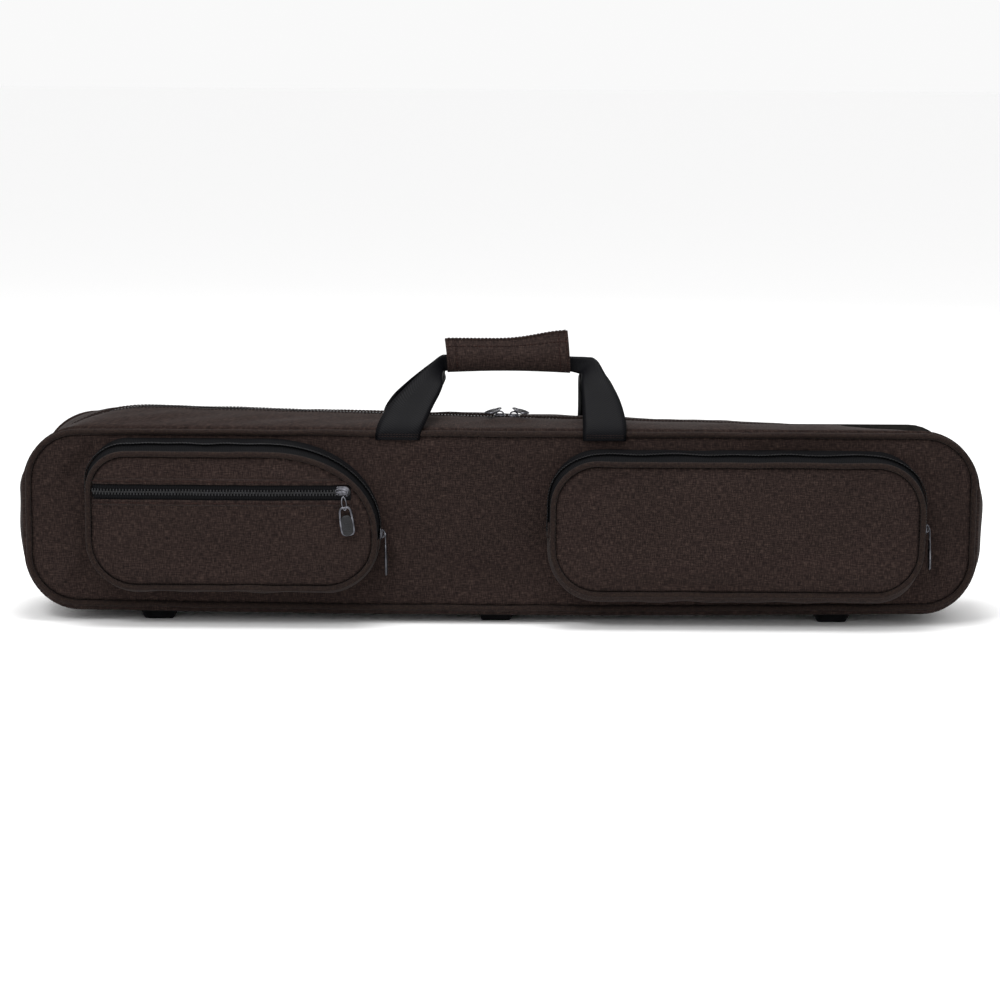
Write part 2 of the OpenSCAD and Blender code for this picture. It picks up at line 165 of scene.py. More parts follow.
@dataclass(frozen=True)
class Ripple:
    """Unevenness of filled cloth: a sum of nine sine waves with random headings."""

    height: float
    length: float
    seed: int

    def at(self, u: Array, v: Array) -> Array:
        """Height of the ripple.

        Args:
            u: Places along the cloth in metres.
            v: Places across it.

        Returns:
            The heights in metres.
        """
        rng = np.random.default_rng(self.seed)
        total = np.zeros(np.broadcast(u, v).shape)
        for heading, phase, scale in rng.random((9, 3)):
            k = 2 * math.pi / (self.length * (0.6 + 0.9 * scale))
            turn = heading * math.pi
            total += np.sin(k * (u * math.cos(turn) + v * math.sin(turn)) + phase * 6.283)
        return self.height * total / 3


@dataclass(frozen=True)
class Crease:
    """A soft fold along a line in X and Z: a bell-shaped ridge that fades at both ends."""

    start: tuple[float, float]
    end: tuple[float, float]
    width: float
    height: float

    def at(self, x: Array, z: Array) -> Array:
        """Height of the fold.

        Args:
            x: Places along the case.
            z: Heights of the places.

        Returns:
            The heights of the fold in metres.
        """
        a, b = np.array(self.start), np.array(self.end)
        along = b - a
        length = np.linalg.norm(along)
        t = ((x - a[0]) * along[0] + (z - a[1]) * along[1]) / length
        off = ((x - a[0]) * along[1] - (z - a[1]) * along[0]) / length
        fade = smooth(t, 0, 0.3 * length) * (1 - smooth(t, 0.7 * length, length))
        return self.height * fade * np.exp(-((off / self.width) ** 2))


# ---------------------------------------------------------------- outlines


@dataclass(frozen=True)
class Outline:
    """A rounded outline in X and Z: four corners, each a quarter of an ellipse, and a top that may slope."""

    left: float
    right: float
    low: float
    top_left: float
    top_right: float
    low_corner: tuple[float, float]
    right_corner: tuple[float, float]
    left_corner: tuple[float, float]
    step: float = 5 * MM
    counts: tuple[int, ...] | None = None

    def loop(self, inset: float = 0.0) -> tuple[Array, Array]:
        """Points round the outline from the middle of its base, anticlockwise seen from the front.

        Args:
            inset: How far the line lies inside the outline.

        Returns:
            The points in X and Z, and the unit normals that point outwards.
        """
        lx, lz = self.low_corner
        rx, rz = self.right_corner
        tx, tz = self.left_corner
        middle = (self.left + self.right) / 2
        corners = [
            (self.right - lx, self.low + lz, lx, lz, -90),
            (self.right - rx, self.top_right - rz, rx, rz, 0),
            (self.left + tx, self.top_left - tz, tx, tz, 90),
            (self.left + lx, self.low + lz, lx, lz, 180),
        ]
        rows = [np.array([[middle, self.low + inset]])]
        for x, z, a, b, start in corners:
            t = np.radians(start + np.linspace(0, 90, 15))
            rows.append(np.stack([x + (a - inset) * np.cos(t), z + (b - inset) * np.sin(t)], 1))
        knots = rows + [rows[0]]
        parts = []
        for k, part in enumerate(rows):
            n = self.counts[k] if self.counts else max(2, int(self.spans()[k] / self.step))
            mix = np.linspace(0, 1, n + 1)[1:-1, None]
            parts += [part, part[-1] * (1 - mix) + knots[k + 1][0] * mix]
        points = np.vstack(parts)
        ahead = slope(points, closed=True)
        return points, np.stack([ahead[:, 1], -ahead[:, 0]], 1)

    def spans(self) -> list[float]:
        """Lengths of the five straight stretches, which fix how many points each one has."""
        half = (self.right - self.left) / 2 - self.low_corner[0]
        rise = self.top_left - self.low - self.low_corner[1] - self.left_corner[1]
        top = self.right - self.left - self.right_corner[0] - self.left_corner[0]
        return [half, rise, top, rise, half]

    def heights(self, x: Array, inset: float) -> tuple[Array, Array]:
        """Lowest and highest Z of the outline above each X.

        Args:
            x: Places along the outline.
            inset: How far the line lies inside the outline.

        Returns:
            The low line and the high line.
        """
        def drop(over: Array, a: float, b: float) -> Array:
            """How far a corner's quarter ellipse has left the straight line, over its own length."""
            part = np.clip(over / max(a - inset, 1e-6), 0, 1)
            return (b - inset) * (1 - np.sqrt(1 - part**2))

        t = (x - self.left) / (self.right - self.left)
        top = self.top_left * (1 - t) + self.top_right * t - inset
        top -= drop(x - (self.right - self.right_corner[0]), *self.right_corner)
        top -= drop((self.left + self.left_corner[0]) - x, *self.left_corner)
        low = self.low + inset + drop(x - (self.right - self.low_corner[0]), *self.low_corner)
        low += drop((self.left + self.low_corner[0]) - x, *self.low_corner)
        return low, top

    def edge_distance(self, x: Array, z: Array, inset: float) -> Array:
        """Distance from places to the outline.

        Args:
            x: Places along the outline.
            z: Heights of the places.
            inset: How far the line lies inside the outline.

        Returns:
            The distances, in the shape of x.
        """
        ring = self.loop(inset)[0][None, :, :]
        flat = np.stack([x.ravel(), z.ravel()], 1)[:, None, :]
        return np.sqrt(((flat - ring) ** 2).sum(2).min(1)).reshape(x.shape)

    def field(self, inset: float, columns: int, rows: int) -> tuple[Array, Array]:
        """Places over the inside of the outline, in upright columns that end on it.

        Args:
            inset: How far the edge lies inside the outline.
            columns: How many columns.
            rows: How many places in a column.

        Returns:
            X and Z, each rows by columns.
        """
        lean = np.linspace(-1, 1, columns)
        lean = np.sign(lean) * (1 - (1 - np.abs(lean)) ** 1.25)
        middle, half = (self.left + self.right) / 2, (self.right - self.left) / 2 - inset
        x = middle + half * lean
        low, high = self.heights(x, inset)
        v = (1 - np.cos(np.linspace(0, math.pi, rows))) / 2 * 0.5 + np.linspace(0, 1, rows) * 0.5
        return np.broadcast_to(x, (rows, columns)).copy(), low + v[:, None] * (high - low)


SEAM_LOW, SEAM_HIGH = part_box("front_piping")
CROWN_LOW, CROWN_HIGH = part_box("front_gusset")
SEAM_CORNER = (47 * MM, 47 * MM)
CROWN_CORNER = (120 * MM, 80 * MM)
CROWN_LOW_CORNER = (54 * MM, 54 * MM)
CROWN_FALL = 18 * MM
# Degrees by which a main pull lies forward of the zip
MAIN_PULL_TURN = 60
# Degrees by which it hangs below level
MAIN_PULL_DROOP = 6
# Both shell outlines have the same number of places, so that a wall can run from one to the other
SHELL_COUNTS = (60, 14, 112, 14, 60)
SEAM = Outline(SEAM_LOW.x, SEAM_HIGH.x, SEAM_LOW.z, SEAM_HIGH.z, SEAM_HIGH.z, SEAM_CORNER, SEAM_CORNER,
               SEAM_CORNER, 6 * MM, SHELL_COUNTS)
CROWN = Outline(CROWN_LOW.x, CROWN_HIGH.x, CROWN_LOW.z, CROWN_HIGH.z, CROWN_HIGH.z - CROWN_FALL,
                CROWN_LOW_CORNER, CROWN_CORNER, CROWN_CORNER, 6 * MM, SHELL_COUNTS)


# ---------------------------------------------------------------- meshes


@dataclass
class Skin:
    """Points, faces and cloth lengths of a surface before it becomes a mesh."""

    points: Array
    faces: list[Array]
    uvs: list[Array]

    def __add__(self, other: "Skin") -> "Skin":
        """Both skins as one."""
        shifted = [f + len(self.points) for f in other.faces]
        return Skin(np.vstack([self.points, other.points]), self.faces + shifted, self.uvs + other.uvs)

    def flipped(self) -> "Skin":
        """The skin with its faces turned over."""
        return Skin(self.points, [f[:, ::-1] for f in self.faces], [u[:, ::-1] for u in self.uvs])

    def quads(self) -> tuple[Array, Array]:
        """Corners of the skin's quads, and a normal for each."""
        corners = self.points[self.faces[0]]
        return corners, np.cross(corners[:, 1] - corners[:, 0], corners[:, 2] - corners[:, 1])

    def facing_from(self, inside: Sequence[float]) -> "Skin":
        """The skin with its faces turned away from a point inside it.

        Args:
            inside: The point.

        Returns:
            The same skin, or the same with its faces turned over.
        """
        corners, normal = self.quads()
        outward = (normal * (corners.mean(1) - np.asarray(inside))).sum()
        return self if outward > 0 else self.flipped()

    def facing_along(self, way: Sequence[float]) -> "Skin":
        """The skin with its faces turned towards a direction."""
        normal = self.quads()[1]
        return self if (normal @ np.asarray(way)).sum() > 0 else self.flipped()

    def placed(self, origin: Sequence[float], axes: Sequence[Sequence[float]]) -> "Skin":
        """The skin moved so that its own X, Y and Z lie along three axes from an origin."""
        return Skin(np.asarray(origin) + self.points @ np.asarray(axes, float), self.faces, self.uvs)

    def make(self, name: str) -> bpy.types.Object:
        """A smooth-shaded object of this skin, at the origin of the scene.

        Args:
            name: The object's name.

        Returns:
            The object, linked to the scene.
        """
        mesh = bpy.data.meshes.new(name)
        rows = [row for block in self.faces for row in block.tolist()]
        mesh.from_pydata(self.points.tolist(), [], rows)
        layer = mesh.uv_layers.new(name="cloth")
        layer.data.foreach_set("uv", np.concatenate([u.ravel() for u in self.uvs]).astype(np.float32))
        mesh.polygons.foreach_set("use_smooth", np.ones(len(mesh.polygons), bool))
        mesh.update()
        piece = bpy.data.objects.new(name, mesh)
        bpy.context.scene.collection.objects.link(piece)
        return piece


def joined(skins: Sequence[Skin]) -> Skin:
    """Several skins as one, in their order."""
    return sum(skins[1:], skins[0])


def grid(points: Array, wrap_rows: bool = False, wrap_columns: bool = False) -> Skin:
    """A skin over rows and columns of points, whose cloth lengths run along the middle row and column.

    Args:
        points: Rows by columns by three.
        wrap_rows: Whether the last row joins the first.
        wrap_columns: Whether the last column joins the first.

    Returns:
        The skin.
    """
    rows, columns = points.shape[:2]
    i = np.arange(rows if wrap_rows else rows - 1)[:, None]
    j = np.arange(columns if wrap_columns else columns - 1)[None, :]
    down, right = (i + 1) % rows, (j + 1) % columns
    faces = np.stack(np.broadcast_arrays(
        i * columns + j, i * columns + right, down * columns + right, down * columns + j), -1).reshape(-1, 4)
    across = np.vstack([points[rows // 2], points[rows // 2][:1]])
    along = np.vstack([points[:, columns // 2], points[:1, columns // 2]])
    u = np.concatenate([[0], np.cumsum(np.linalg.norm(np.diff(across, axis=0), axis=1))])
    v = np.concatenate([[0], np.cumsum(np.linalg.norm(np.diff(along, axis=0), axis=1))])
    turns = ((0, 0), (1, 0), (1, 1), (0, 1))
    corner = [np.stack(np.broadcast_arrays(u[j + a], v[i + b]), -1) for a, b in turns]
    return Skin(points.reshape(-1, 3), [faces], [np.stack(corner, 2).reshape(-1, 4, 2)])


def flat_skin(x: Array, y: Array, z: Array) -> Skin:
    """A skin over a field of places, whose cloth lengths are X and Z themselves.

    Args:
        x: X of the places, rows by columns.
        y: Their depths.
        z: Their heights.

    Returns:
        The skin.
    """
    skin = grid(np.stack([x, y, z], -1))
    skin.uvs = [skin.points[skin.faces[0]][:, :, [0, 2]]]
    return skin


def capped(skin: Skin, rows: int, columns: int) -> Skin:
    """A tube of rings with both its ends closed by one face each.

    Args:
        skin: The open tube.
        rows: How many rings it has.
        columns: How many points a ring has.

    Returns:
        The closed tube.
    """
    last = (rows - 1) * columns + np.arange(columns)
    ends = np.stack([np.arange(columns)[::-1], last])
    blank = np.zeros((2, columns, 2))
    return Skin(skin.points, skin.faces + [ends], skin.uvs + [blank])


def tube(path: Array, radius: Array | float, up: Sequence[float] | Array, sides: int = 10,
         closed: bool = False, flat: float = 1.0) -> Skin:
    """An oval carried along a path: the centre plus the radius times cosine and sine of two side vectors.

    Args:
        path: Centre points.
        radius: One radius, or one for each point.
        up: The direction that the oval's second axis follows.
        sides: How many points an oval has.
        closed: Whether the path is a loop.
        flat: The oval's second axis over its first.

    Returns:
        The skin, with closed ends.
    """
    ahead = slope(path, closed)
    upward = np.broadcast_to(np.asarray(up, float), path.shape)
    side = unit(np.cross(upward, ahead))
    upward = np.cross(ahead, side)
    t = np.linspace(0, 2 * math.pi, sides, endpoint=False)[None, :, None]
    r = np.broadcast_to(np.asarray(radius, float), len(path))[:, None, None]
    points = path[:, None] + r * (np.cos(t) * side[:, None] + flat * np.sin(t) * upward[:, None])
    skin = grid(points, wrap_rows=closed, wrap_columns=True)
    return skin if closed else capped(skin, len(path), sides)


def ribbon(left: Array, right: Array, thickness: float, columns: int = 9) -> Skin:
    """A woven band between two edges, thin at both edges, whose cloth lengths run along and across it.

    Args:
        left: Points along one edge.
        right: Points along the other edge.
        thickness: The band's thickness.
        columns: Points across one face of the band.

    Returns:
        The skin, with closed ends.
    """
    across = np.linspace(0, 1, columns)
    out = unit(np.cross(unit(right - left), slope((left + right) / 2)))
    body = thickness / 2 * (1 - np.abs(2 * across - 1) ** 8) ** 0.5
    a = np.concatenate([across, across[-2:0:-1]])[None, :, None]
    shift = np.concatenate([body, -body[-2:0:-1]])[None, :, None]
    points = left[:, None] * (1 - a) + right[:, None] * a + shift * out[:, None]
    skin = capped(grid(points, wrap_columns=True), len(left), points.shape[1])
    width = np.linalg.norm(right - left, axis=1).mean()
    top = skin.uvs[0]
    top[..., 0] = np.where(top[..., 0] > top[..., 0].max() / 2, top[..., 0].max() - top[..., 0], top[..., 0])
    top[..., 0] *= width / max(top[..., 0].max(), 1e-9)
    return skin


def repeated(base: Skin, origins: Array, ahead: Array, out: Array) -> Skin:
    """Copies of a small skin, each with its X along a path and its Z along the path's normal.

    Args:
        base: The small skin, about the origin.
        origins: Where the copies stand.
        ahead: The direction of each copy's X.
        out: The rough direction of each copy's Z.

    Returns:
        All copies as one skin.
    """
    side = unit(np.cross(out, ahead))
    out = np.cross(ahead, side)
    axes = np.stack([ahead, side, out], 1)
    points = (origins[:, None] + np.einsum("vk,nkd->nvd", base.points, axes)).reshape(-1, 3)
    shift = (np.arange(len(origins)) * len(base.points))[:, None, None]
    faces = [(f[None] + shift).reshape(-1, f.shape[1]) for f in base.faces]
    uvs = [np.tile(u, (len(origins), 1, 1)) for u in base.uvs]
    return Skin(points, faces, uvs)


def lens(length: float, width: float, height: float, sides: int = 6) -> Skin:
    """A small rounded bar along X: four rings whose size falls towards its ends.

    Args:
        length: Its length.
        width: Its size in Y.
        height: Its size in Z.
        sides: How many points a ring has.

    Returns:
        The bar, about the origin.
    """
    x = np.array([-0.5, -0.34, 0.34, 0.5])[:, None] * length
    size = np.array([0.35, 1.0, 1.0, 0.35])[:, None]
    t = np.linspace(0, 2 * math.pi, sides, endpoint=False)[None]
    points = np.stack([x + 0 * t, size * np.cos(t) * width / 2, size * np.sin(t) * height / 2], -1)
    return capped(grid(points, wrap_columns=True), 4, sides)


def plate(length: float, width: float, thickness: float, squareness: float = 4.0, sides: int = 28) -> Skin:
    """A flat pill with softened edges: rings of a superellipse in X and Y, smaller at the top and base.

    Args:
        length: Its size in X.
        width: Its size in Y.
        thickness: Its size in Z, from 0.
        squareness: The superellipse's power.
        sides: How many points a ring has.

    Returns:
        The pill, about the Z axis.
    """
    ring_x, ring_y = superellipse(squareness, sides)
    edge = min(thickness * 0.45, width * 0.2)
    rows = []
    for z, inset in ((0, edge), (0.15 * thickness, 0.3 * edge), (0.4 * thickness, 0), (0.6 * thickness, 0),
                     (0.85 * thickness, 0.3 * edge), (thickness, edge)):
        rows.append(np.stack([(length / 2 - inset) * ring_x, (width / 2 - inset) * ring_y,
                              np.full(sides, float(z))], 1))
    points = np.stack(rows)
    return capped(grid(points, wrap_columns=True), len(rows), sides)


def thicken(piece: bpy.types.Object, thickness: float) -> bpy.types.Object:
    """Gives a one-sided skin a wall that grows inwards.

    Args:
        piece: The object.
        thickness: The wall's thickness.

    Returns:
        The same object.
    """
    wall = piece.modifiers.new("wall", "SOLIDIFY")
    wall.thickness = thickness
    wall.offset = -1
    wall.use_even_offset = False
    return piece


def stitches(path: Array, out: Array, pitch: float = 3.4 * MM, length: float = 2.6 * MM,
             width: float = 0.9 * MM) -> Skin:
    """A row of thread stitches along a path, half sunk in the cloth.

    Args:
        path: The seam line on the cloth.
        out: The cloth's normals along it.
        pitch: Distance from one stitch to the next.
        length: Length of a stitch.
        width: Width of a stitch, drawn a little coarse so that it shows.

    Returns:
        The stitches as one skin.
    """
    at, normal = spaced(path, pitch, out)
    return repeated(lens(length, width, 0.8 * width), at, slope(at), unit(normal))


def coil_side(path: Array, out: Array, across: Array, pitch: float, size: float, phase: float) -> Skin:
    """The teeth of one side of a coil zip: short bars across the middle line, set half a pitch apart.

    Args:
        path: The middle line of the zip.
        out: The zip's normals.
        across: Unit vectors from the middle line into this side's tape.
        pitch: Distance between teeth on one side.
        size: Length of a tooth.
        phase: Where the first tooth stands, as a part of the pitch.

    Returns:
        The teeth as one skin.
    """
    at, normal, way = spaced(path, pitch / 2, out, across)
    pick = slice(int(phase * 2), None, 2)
    at, normal, way = at[pick], unit(normal[pick]), unit(way[pick])
    return repeated(lens(size, 0.62 * pitch, 0.9 * MM, 6), at + way * size * 0.28, way, normal)


# ---------------------------------------------------------------- finishes


def colour(code: str) -> tuple[float, float, float, float]:
    """A linear colour from an sRGB hex code."""
    parts = [int(code[i:i + 2], 16) / 255 for i in (1, 3, 5)]
    linear = [c / 12.92 if c <= 0.04045 else ((c + 0.055) / 1.055) ** 2.4 for c in parts]
    return (*linear, 1.0)


def add(tree: bpy.types.NodeTree, kind: str, inputs: dict | None = None, **settings) -> bpy.types.Node:
    """Adds a node with its settings, and its inputs as values or links.

    Args:
        tree: The material's node tree.
        kind: The node's type.
        inputs: Values or output sockets by input name or number.
        settings: Attributes of the node.

    Returns:
        The node.
    """
    node = tree.nodes.new(kind)
    for key, value in settings.items():
        setattr(node, key, value)
    for key, value in (inputs or {}).items():
        if isinstance(value, bpy.types.NodeSocket):
            tree.links.new(value, node.inputs[key])
        else:
            node.inputs[key].default_value = value
    return node


def ramp(tree: bpy.types.NodeTree, factor: bpy.types.NodeSocket, stops: Sequence[tuple[float, str]]
         ) -> bpy.types.NodeSocket:
    """A colour ramp over hex colours.

    Args:
        tree: The material's node tree.
        factor: The socket that drives the ramp.
        stops: Places from 0 to 1, each with its colour.

    Returns:
        The ramp's colour socket.
    """
    node = add(tree, "ShaderNodeValToRGB", {"Fac": factor})
    elements = node.color_ramp.elements
    while len(elements) < len(stops):
        elements.new(0.5)
    for element, (place, code) in zip(elements, stops):
        element.position = place
        element.color = colour(code)
    return node.outputs["Color"]


class Grain(Enum):
    """Where a pattern takes its place from: the cloth's own lengths, or the object's coordinates."""

    CLOTH = "UV"
    BLOCK = "Object"


@dataclass(frozen=True)
class Finish:
    """A surface finish. Each kind fills in its own nodes."""

    name: str

    def start(self) -> tuple[bpy.types.NodeTree, bpy.types.Node]:
        """A new material's tree and its shader."""
        made = bpy.data.materials.new(self.name)
        made.use_nodes = True
        tree = made.node_tree
        tree.nodes.clear()
        shader = add(tree, "ShaderNodeBsdfPrincipled")
        add(tree, "ShaderNodeOutputMaterial", {"Surface": shader.outputs[0]})
        return tree, shader

    def fill(self, tree: bpy.types.NodeTree, shader: bpy.types.Node) -> None:
        """Adds this finish's nodes."""

    def woven(self, tree: bpy.types.NodeTree, shader: bpy.types.Node, height: bpy.types.NodeSocket,
              bump: tuple[float, float], rough: float, specular: float) -> None:
        """Ends a woven finish with its bump and how it takes light.

        Args:
            tree: The material's node tree.
            shader: Its shader.
            height: The socket that drives the bump.
            bump: The bump's strength and its distance.
            rough: The roughness.
            specular: The specular level.
        """
        node = add(tree, "ShaderNodeBump", {"Height": height, "Strength": bump[0], "Distance": bump[1]})
        tree.links.new(node.outputs[0], shader.inputs["Normal"])
        shader.inputs["Roughness"].default_value = rough
        shader.inputs["Specular IOR Level"].default_value = specular

    def material(self) -> bpy.types.Material:
        """The finish as a material, made once."""
        if self.name not in bpy.data.materials:
            tree, shader = self.start()
            self.fill(tree, shader)
        return bpy.data.materials[self.name]


@dataclass(frozen=True)
class HeatherCloth(Finish):
    """Woven polyester of mixed dark and light yarns. Slubs along both yarns give a fine broken check.

    The real yarns lie about 0.5 mm apart. They are drawn at 0.8 mm or more, so that the slubs show.
    """

    dark: str = "#0f0a09"
    body: str = "#221917"
    light: str = "#3c302b"
    yarn: float = 0.8 * MM
    slub: float = 6 * MM
    relief: float = 0.35
    grain: Grain = Grain.CLOTH

    def fill(self, tree: bpy.types.NodeTree, shader: bpy.types.Node) -> None:
        """Two stretched noises for the yarns, a slow one for painted shade, and a woven bump."""
        place = add(tree, "ShaderNodeTexCoord").outputs
        cloth = place[self.grain.value]
        yarns = []
        for scale in ((1 / self.yarn, 1 / self.slub, 1), (1 / self.slub, 1 / self.yarn, 1)):
            stretched = add(tree, "ShaderNodeMapping", {"Vector": cloth, "Scale": scale})
            yarn = add(tree, "ShaderNodeTexNoise", {
                "Vector": stretched.outputs[0], "Scale": 1.0, "Detail": 3.0, "Roughness": 0.6})
            yarns.append(yarn.outputs["Fac"])
        both = add(tree, "ShaderNodeMath", {0: yarns[0], 1: yarns[1]}, operation="ADD").outputs[0]
        half = add(tree, "ShaderNodeMath", {0: both, 1: 0.5}, operation="MULTIPLY").outputs[0]
        threads = ramp(tree, half, ((0.36, self.dark), (0.5, self.body), (0.66, self.light)))
        # Slow noise darkens and lightens the cloth at random: partly the cloth's own uneven tone, partly
        # painted shade for broad soft folds
        slow = add(tree, "ShaderNodeTexNoise", {"Vector": place["Object"], "Scale": 9.0, "Detail": 2.0})
        shade = add(tree, "ShaderNodeMapRange", {
            "Value": slow.outputs["Fac"], "To Min": 0.76, "To Max": 1.24})
        toned = add(tree, "ShaderNodeVectorMath", {0: threads, 1: shade.outputs[0]}, operation="MULTIPLY")
        tree.links.new(toned.outputs[0], shader.inputs["Base Color"])
        weave = add(tree, "ShaderNodeMapping", {"Vector": cloth, "Scale": (1 / self.yarn,) * 3})
        cross = add(tree, "ShaderNodeTexNoise", {"Vector": weave.outputs[0], "Scale": 0.8, "Detail": 2.0})
        height = add(tree, "ShaderNodeMath", {0: cross.outputs["Fac"], 1: both}, operation="ADD").outputs[0]
        self.woven(tree, shader, height, (self.relief, 0.4 * MM), 0.88, 0.08)
        shader.inputs["Sheen Weight"].default_value = 0.03
        shader.inputs["Sheen Roughness"].default_value = 0.45


@dataclass(frozen=True)
class Herringbone(Finish):
    """Nylon webbing woven in a herringbone twill. Its ribs lean one way, then the other, across the band.

    The real ribs are about 1 mm wide. They are drawn at 2.2 mm, so that the zigzag shows.
    """

    dark: str = "#040405"
    light: str = "#101013"
    column: float = 10 * MM
    rib: float = 2.2 * MM

    def fill(self, tree: bpy.types.NodeTree, shader: bpy.types.Node) -> None:
        """A sine along the band, shifted by a zigzag across it."""
        cloth = add(tree, "ShaderNodeTexCoord").outputs["UV"]
        axes = add(tree, "ShaderNodeSeparateXYZ", {0: cloth}).outputs
        zigzag = add(tree, "ShaderNodeMath", {0: axes[0], 1: self.column}, operation="PINGPONG").outputs[0]
        shifted = add(tree, "ShaderNodeMath", {0: axes[1], 1: zigzag}, operation="ADD").outputs[0]
        turned = add(tree, "ShaderNodeMath", {0: shifted, 1: 2 * math.pi / self.rib}, operation="MULTIPLY")
        wave = add(tree, "ShaderNodeMath", {0: turned.outputs[0]}, operation="SINE").outputs[0]
        level = add(tree, "ShaderNodeMapRange", {"Value": wave, "From Min": -1.0, "From Max": 1.0}).outputs[0]
        tree.links.new(ramp(tree, level, ((0.15, self.dark), (0.9, self.light))), shader.inputs["Base Color"])
        self.woven(tree, shader, level, (0.3, 0.3 * MM), 0.42, 0.045)


@dataclass(frozen=True)
class RibbedTape(Finish):
    """Woven tape with fine ribs across it, as beside a zip or on elastic."""

    dark: str = "#070708"
    light: str = "#101012"
    rib: float = 1.6 * MM
    grain: Grain = Grain.CLOTH

    def fill(self, tree: bpy.types.NodeTree, shader: bpy.types.Node) -> None:
        """A sine along the tape for ribs, broken up by noise."""
        cloth = add(tree, "ShaderNodeTexCoord").outputs[self.grain.value]
        axes = add(tree, "ShaderNodeSeparateXYZ", {0: cloth}).outputs
        turned = add(tree, "ShaderNodeMath", {0: axes[0], 1: 2 * math.pi / self.rib}, operation="MULTIPLY")
        wave = add(tree, "ShaderNodeMath", {0: turned.outputs[0]}, operation="SINE").outputs[0]
        fuzz = add(tree, "ShaderNodeTexNoise", {"Vector": cloth, "Scale": 900.0, "Detail": 2.0})
        level = add(tree, "ShaderNodeMath", {0: wave, 1: fuzz.outputs["Fac"]}, operation="ADD").outputs[0]
        tree.links.new(ramp(tree, level, ((0.0, self.dark), (1.0, self.light))), shader.inputs["Base Color"])
        self.woven(tree, shader, level, (0.4, 0.2 * MM), 0.75, 0.06)


@dataclass(frozen=True)
class Solid(Finish):
    """A moulded, cast or spun surface of one colour, with fine grain and slight wear."""

    base: str = "#202022"
    worn: str = "#2c2c2f"
    rough: float = 0.5
    metal: float = 0.0
    specular: float = 0.2
    grit: float = 0.6 * MM
    relief: float = 0.15

    def fill(self, tree: bpy.types.NodeTree, shader: bpy.types.Node) -> None:
        """Fine noise for the grain, slow noise for wear."""
        place = add(tree, "ShaderNodeTexCoord").outputs["Object"]
        fine = add(tree, "ShaderNodeTexNoise", {"Vector": place, "Scale": 1 / self.grit, "Detail": 2.0})
        slow = add(tree, "ShaderNodeTexNoise", {"Vector": place, "Scale": 160.0, "Detail": 3.0})
        tone = ramp(tree, slow.outputs["Fac"], ((0.42, self.base), (0.68, self.worn)))
        tree.links.new(tone, shader.inputs["Base Color"])
        gloss = add(tree, "ShaderNodeMapRange", {
            "Value": slow.outputs["Fac"], "To Min": self.rough * 0.85, "To Max": min(1.0, self.rough * 1.15)})
        tree.links.new(gloss.outputs[0], shader.inputs["Roughness"])
        bump = add(tree, "ShaderNodeBump", {
            "Height": fine.outputs["Fac"], "Strength": self.relief, "Distance": 0.15 * MM})
        tree.links.new(bump.outputs[0], shader.inputs["Normal"])
        shader.inputs["Metallic"].default_value = self.metal
        shader.inputs["Specular IOR Level"].default_value = self.specular


CLOTH = HeatherCloth("heather_polyester")
# The piping cords use a darker copy of the cloth with less contrast: painted shade that offsets the extra light
# a rounded cord catches
PIPING = HeatherCloth("heather_polyester_piping_painted_shade", "#140e0d", "#1f1715", "#30261f", 0.8 * MM, 4 * MM)
LINING = HeatherCloth("brushed_lining", "#131212", "#1c1b1b", "#282727", 0.9 * MM, 3 * MM, 0.2)
FLAT_LINING = HeatherCloth("brushed_lining_flat", "#131212", "#1c1b1b", "#282727", 0.9 * MM, 3 * MM, 0.2,
                           Grain.BLOCK)
VELOUR = HeatherCloth("velour_foam_cover", "#0f0f11", "#17171a", "#212125", 1.1 * MM, 2 * MM, 0.3)
WEBBING = Herringbone("herringbone_webbing")
ZIP_TAPE = RibbedTape("woven_zip_tape")
ELASTIC = RibbedTape("ribbed_elastic", "#08080a", "#161619", 2.4 * MM)
HOOK_TAPE = RibbedTape("hook_and_loop_tape", "#060607", "#131315", 1.2 * MM, Grain.BLOCK)
# Drawn nylon wire: smooth and slightly glossy, so the teeth catch small lights
COIL = Solid("nylon_coil", "#0c0c0e", "#18181b", 0.36, specular=0.3)
# Zinc die cast, plated dark and tumbled: soft reflections, edges a little brighter
GUNMETAL = Solid("gunmetal_zinc", "#4a4a4f", "#77777d", 0.3, metal=1.0, grit=0.8 * MM, relief=0.1)
# Moulded PVC with a fine spark texture: broad dull highlight
SOFT_TIP = Solid("moulded_pull_tip", "#0d0d0f", "#161619", 0.5, specular=0.3)
# Moulded rubber, matt from its tool
RUBBER = Solid("moulded_foot_rubber", "#060607", "#0e0e10", 0.62, specular=0.12, grit=0.5 * MM, relief=0.25)
# Pressed fibre board
BOARD = Solid("pressed_fibre_board", "#1c1b1a", "#272523", 0.9, specular=0.1, grit=1.2 * MM, relief=0.3)
# Spun polyester thread, redder than the cloth
THREAD = Solid("russet_thread", "#1c100e", "#2c1a16", 0.7, specular=0.1, grit=0.5 * MM, relief=0.3)
DARK_THREAD = Solid("brown_thread", "#160f0e", "#211817", 0.75, specular=0.1, grit=0.5 * MM, relief=0.3)


def finished(piece: bpy.types.Object, finish: Finish, body: str, slot: str, *nodes: str) -> bpy.types.Object:
    """Dresses a piece and ties it to the frame.

    Args:
        piece: The object.
        finish: Its finish.
        body: The body that it moves with.
        slot: The record's material slot; not used.
        nodes: The frame's nodes that it stands for.

    Returns:
        The same object.
    """
    piece.data.materials.clear()
    piece.data.materials.append(finish.material())
    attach(piece, body)
    if nodes:
        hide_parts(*nodes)
    log.info("%s rides on %s", piece.name, body)
    return piece


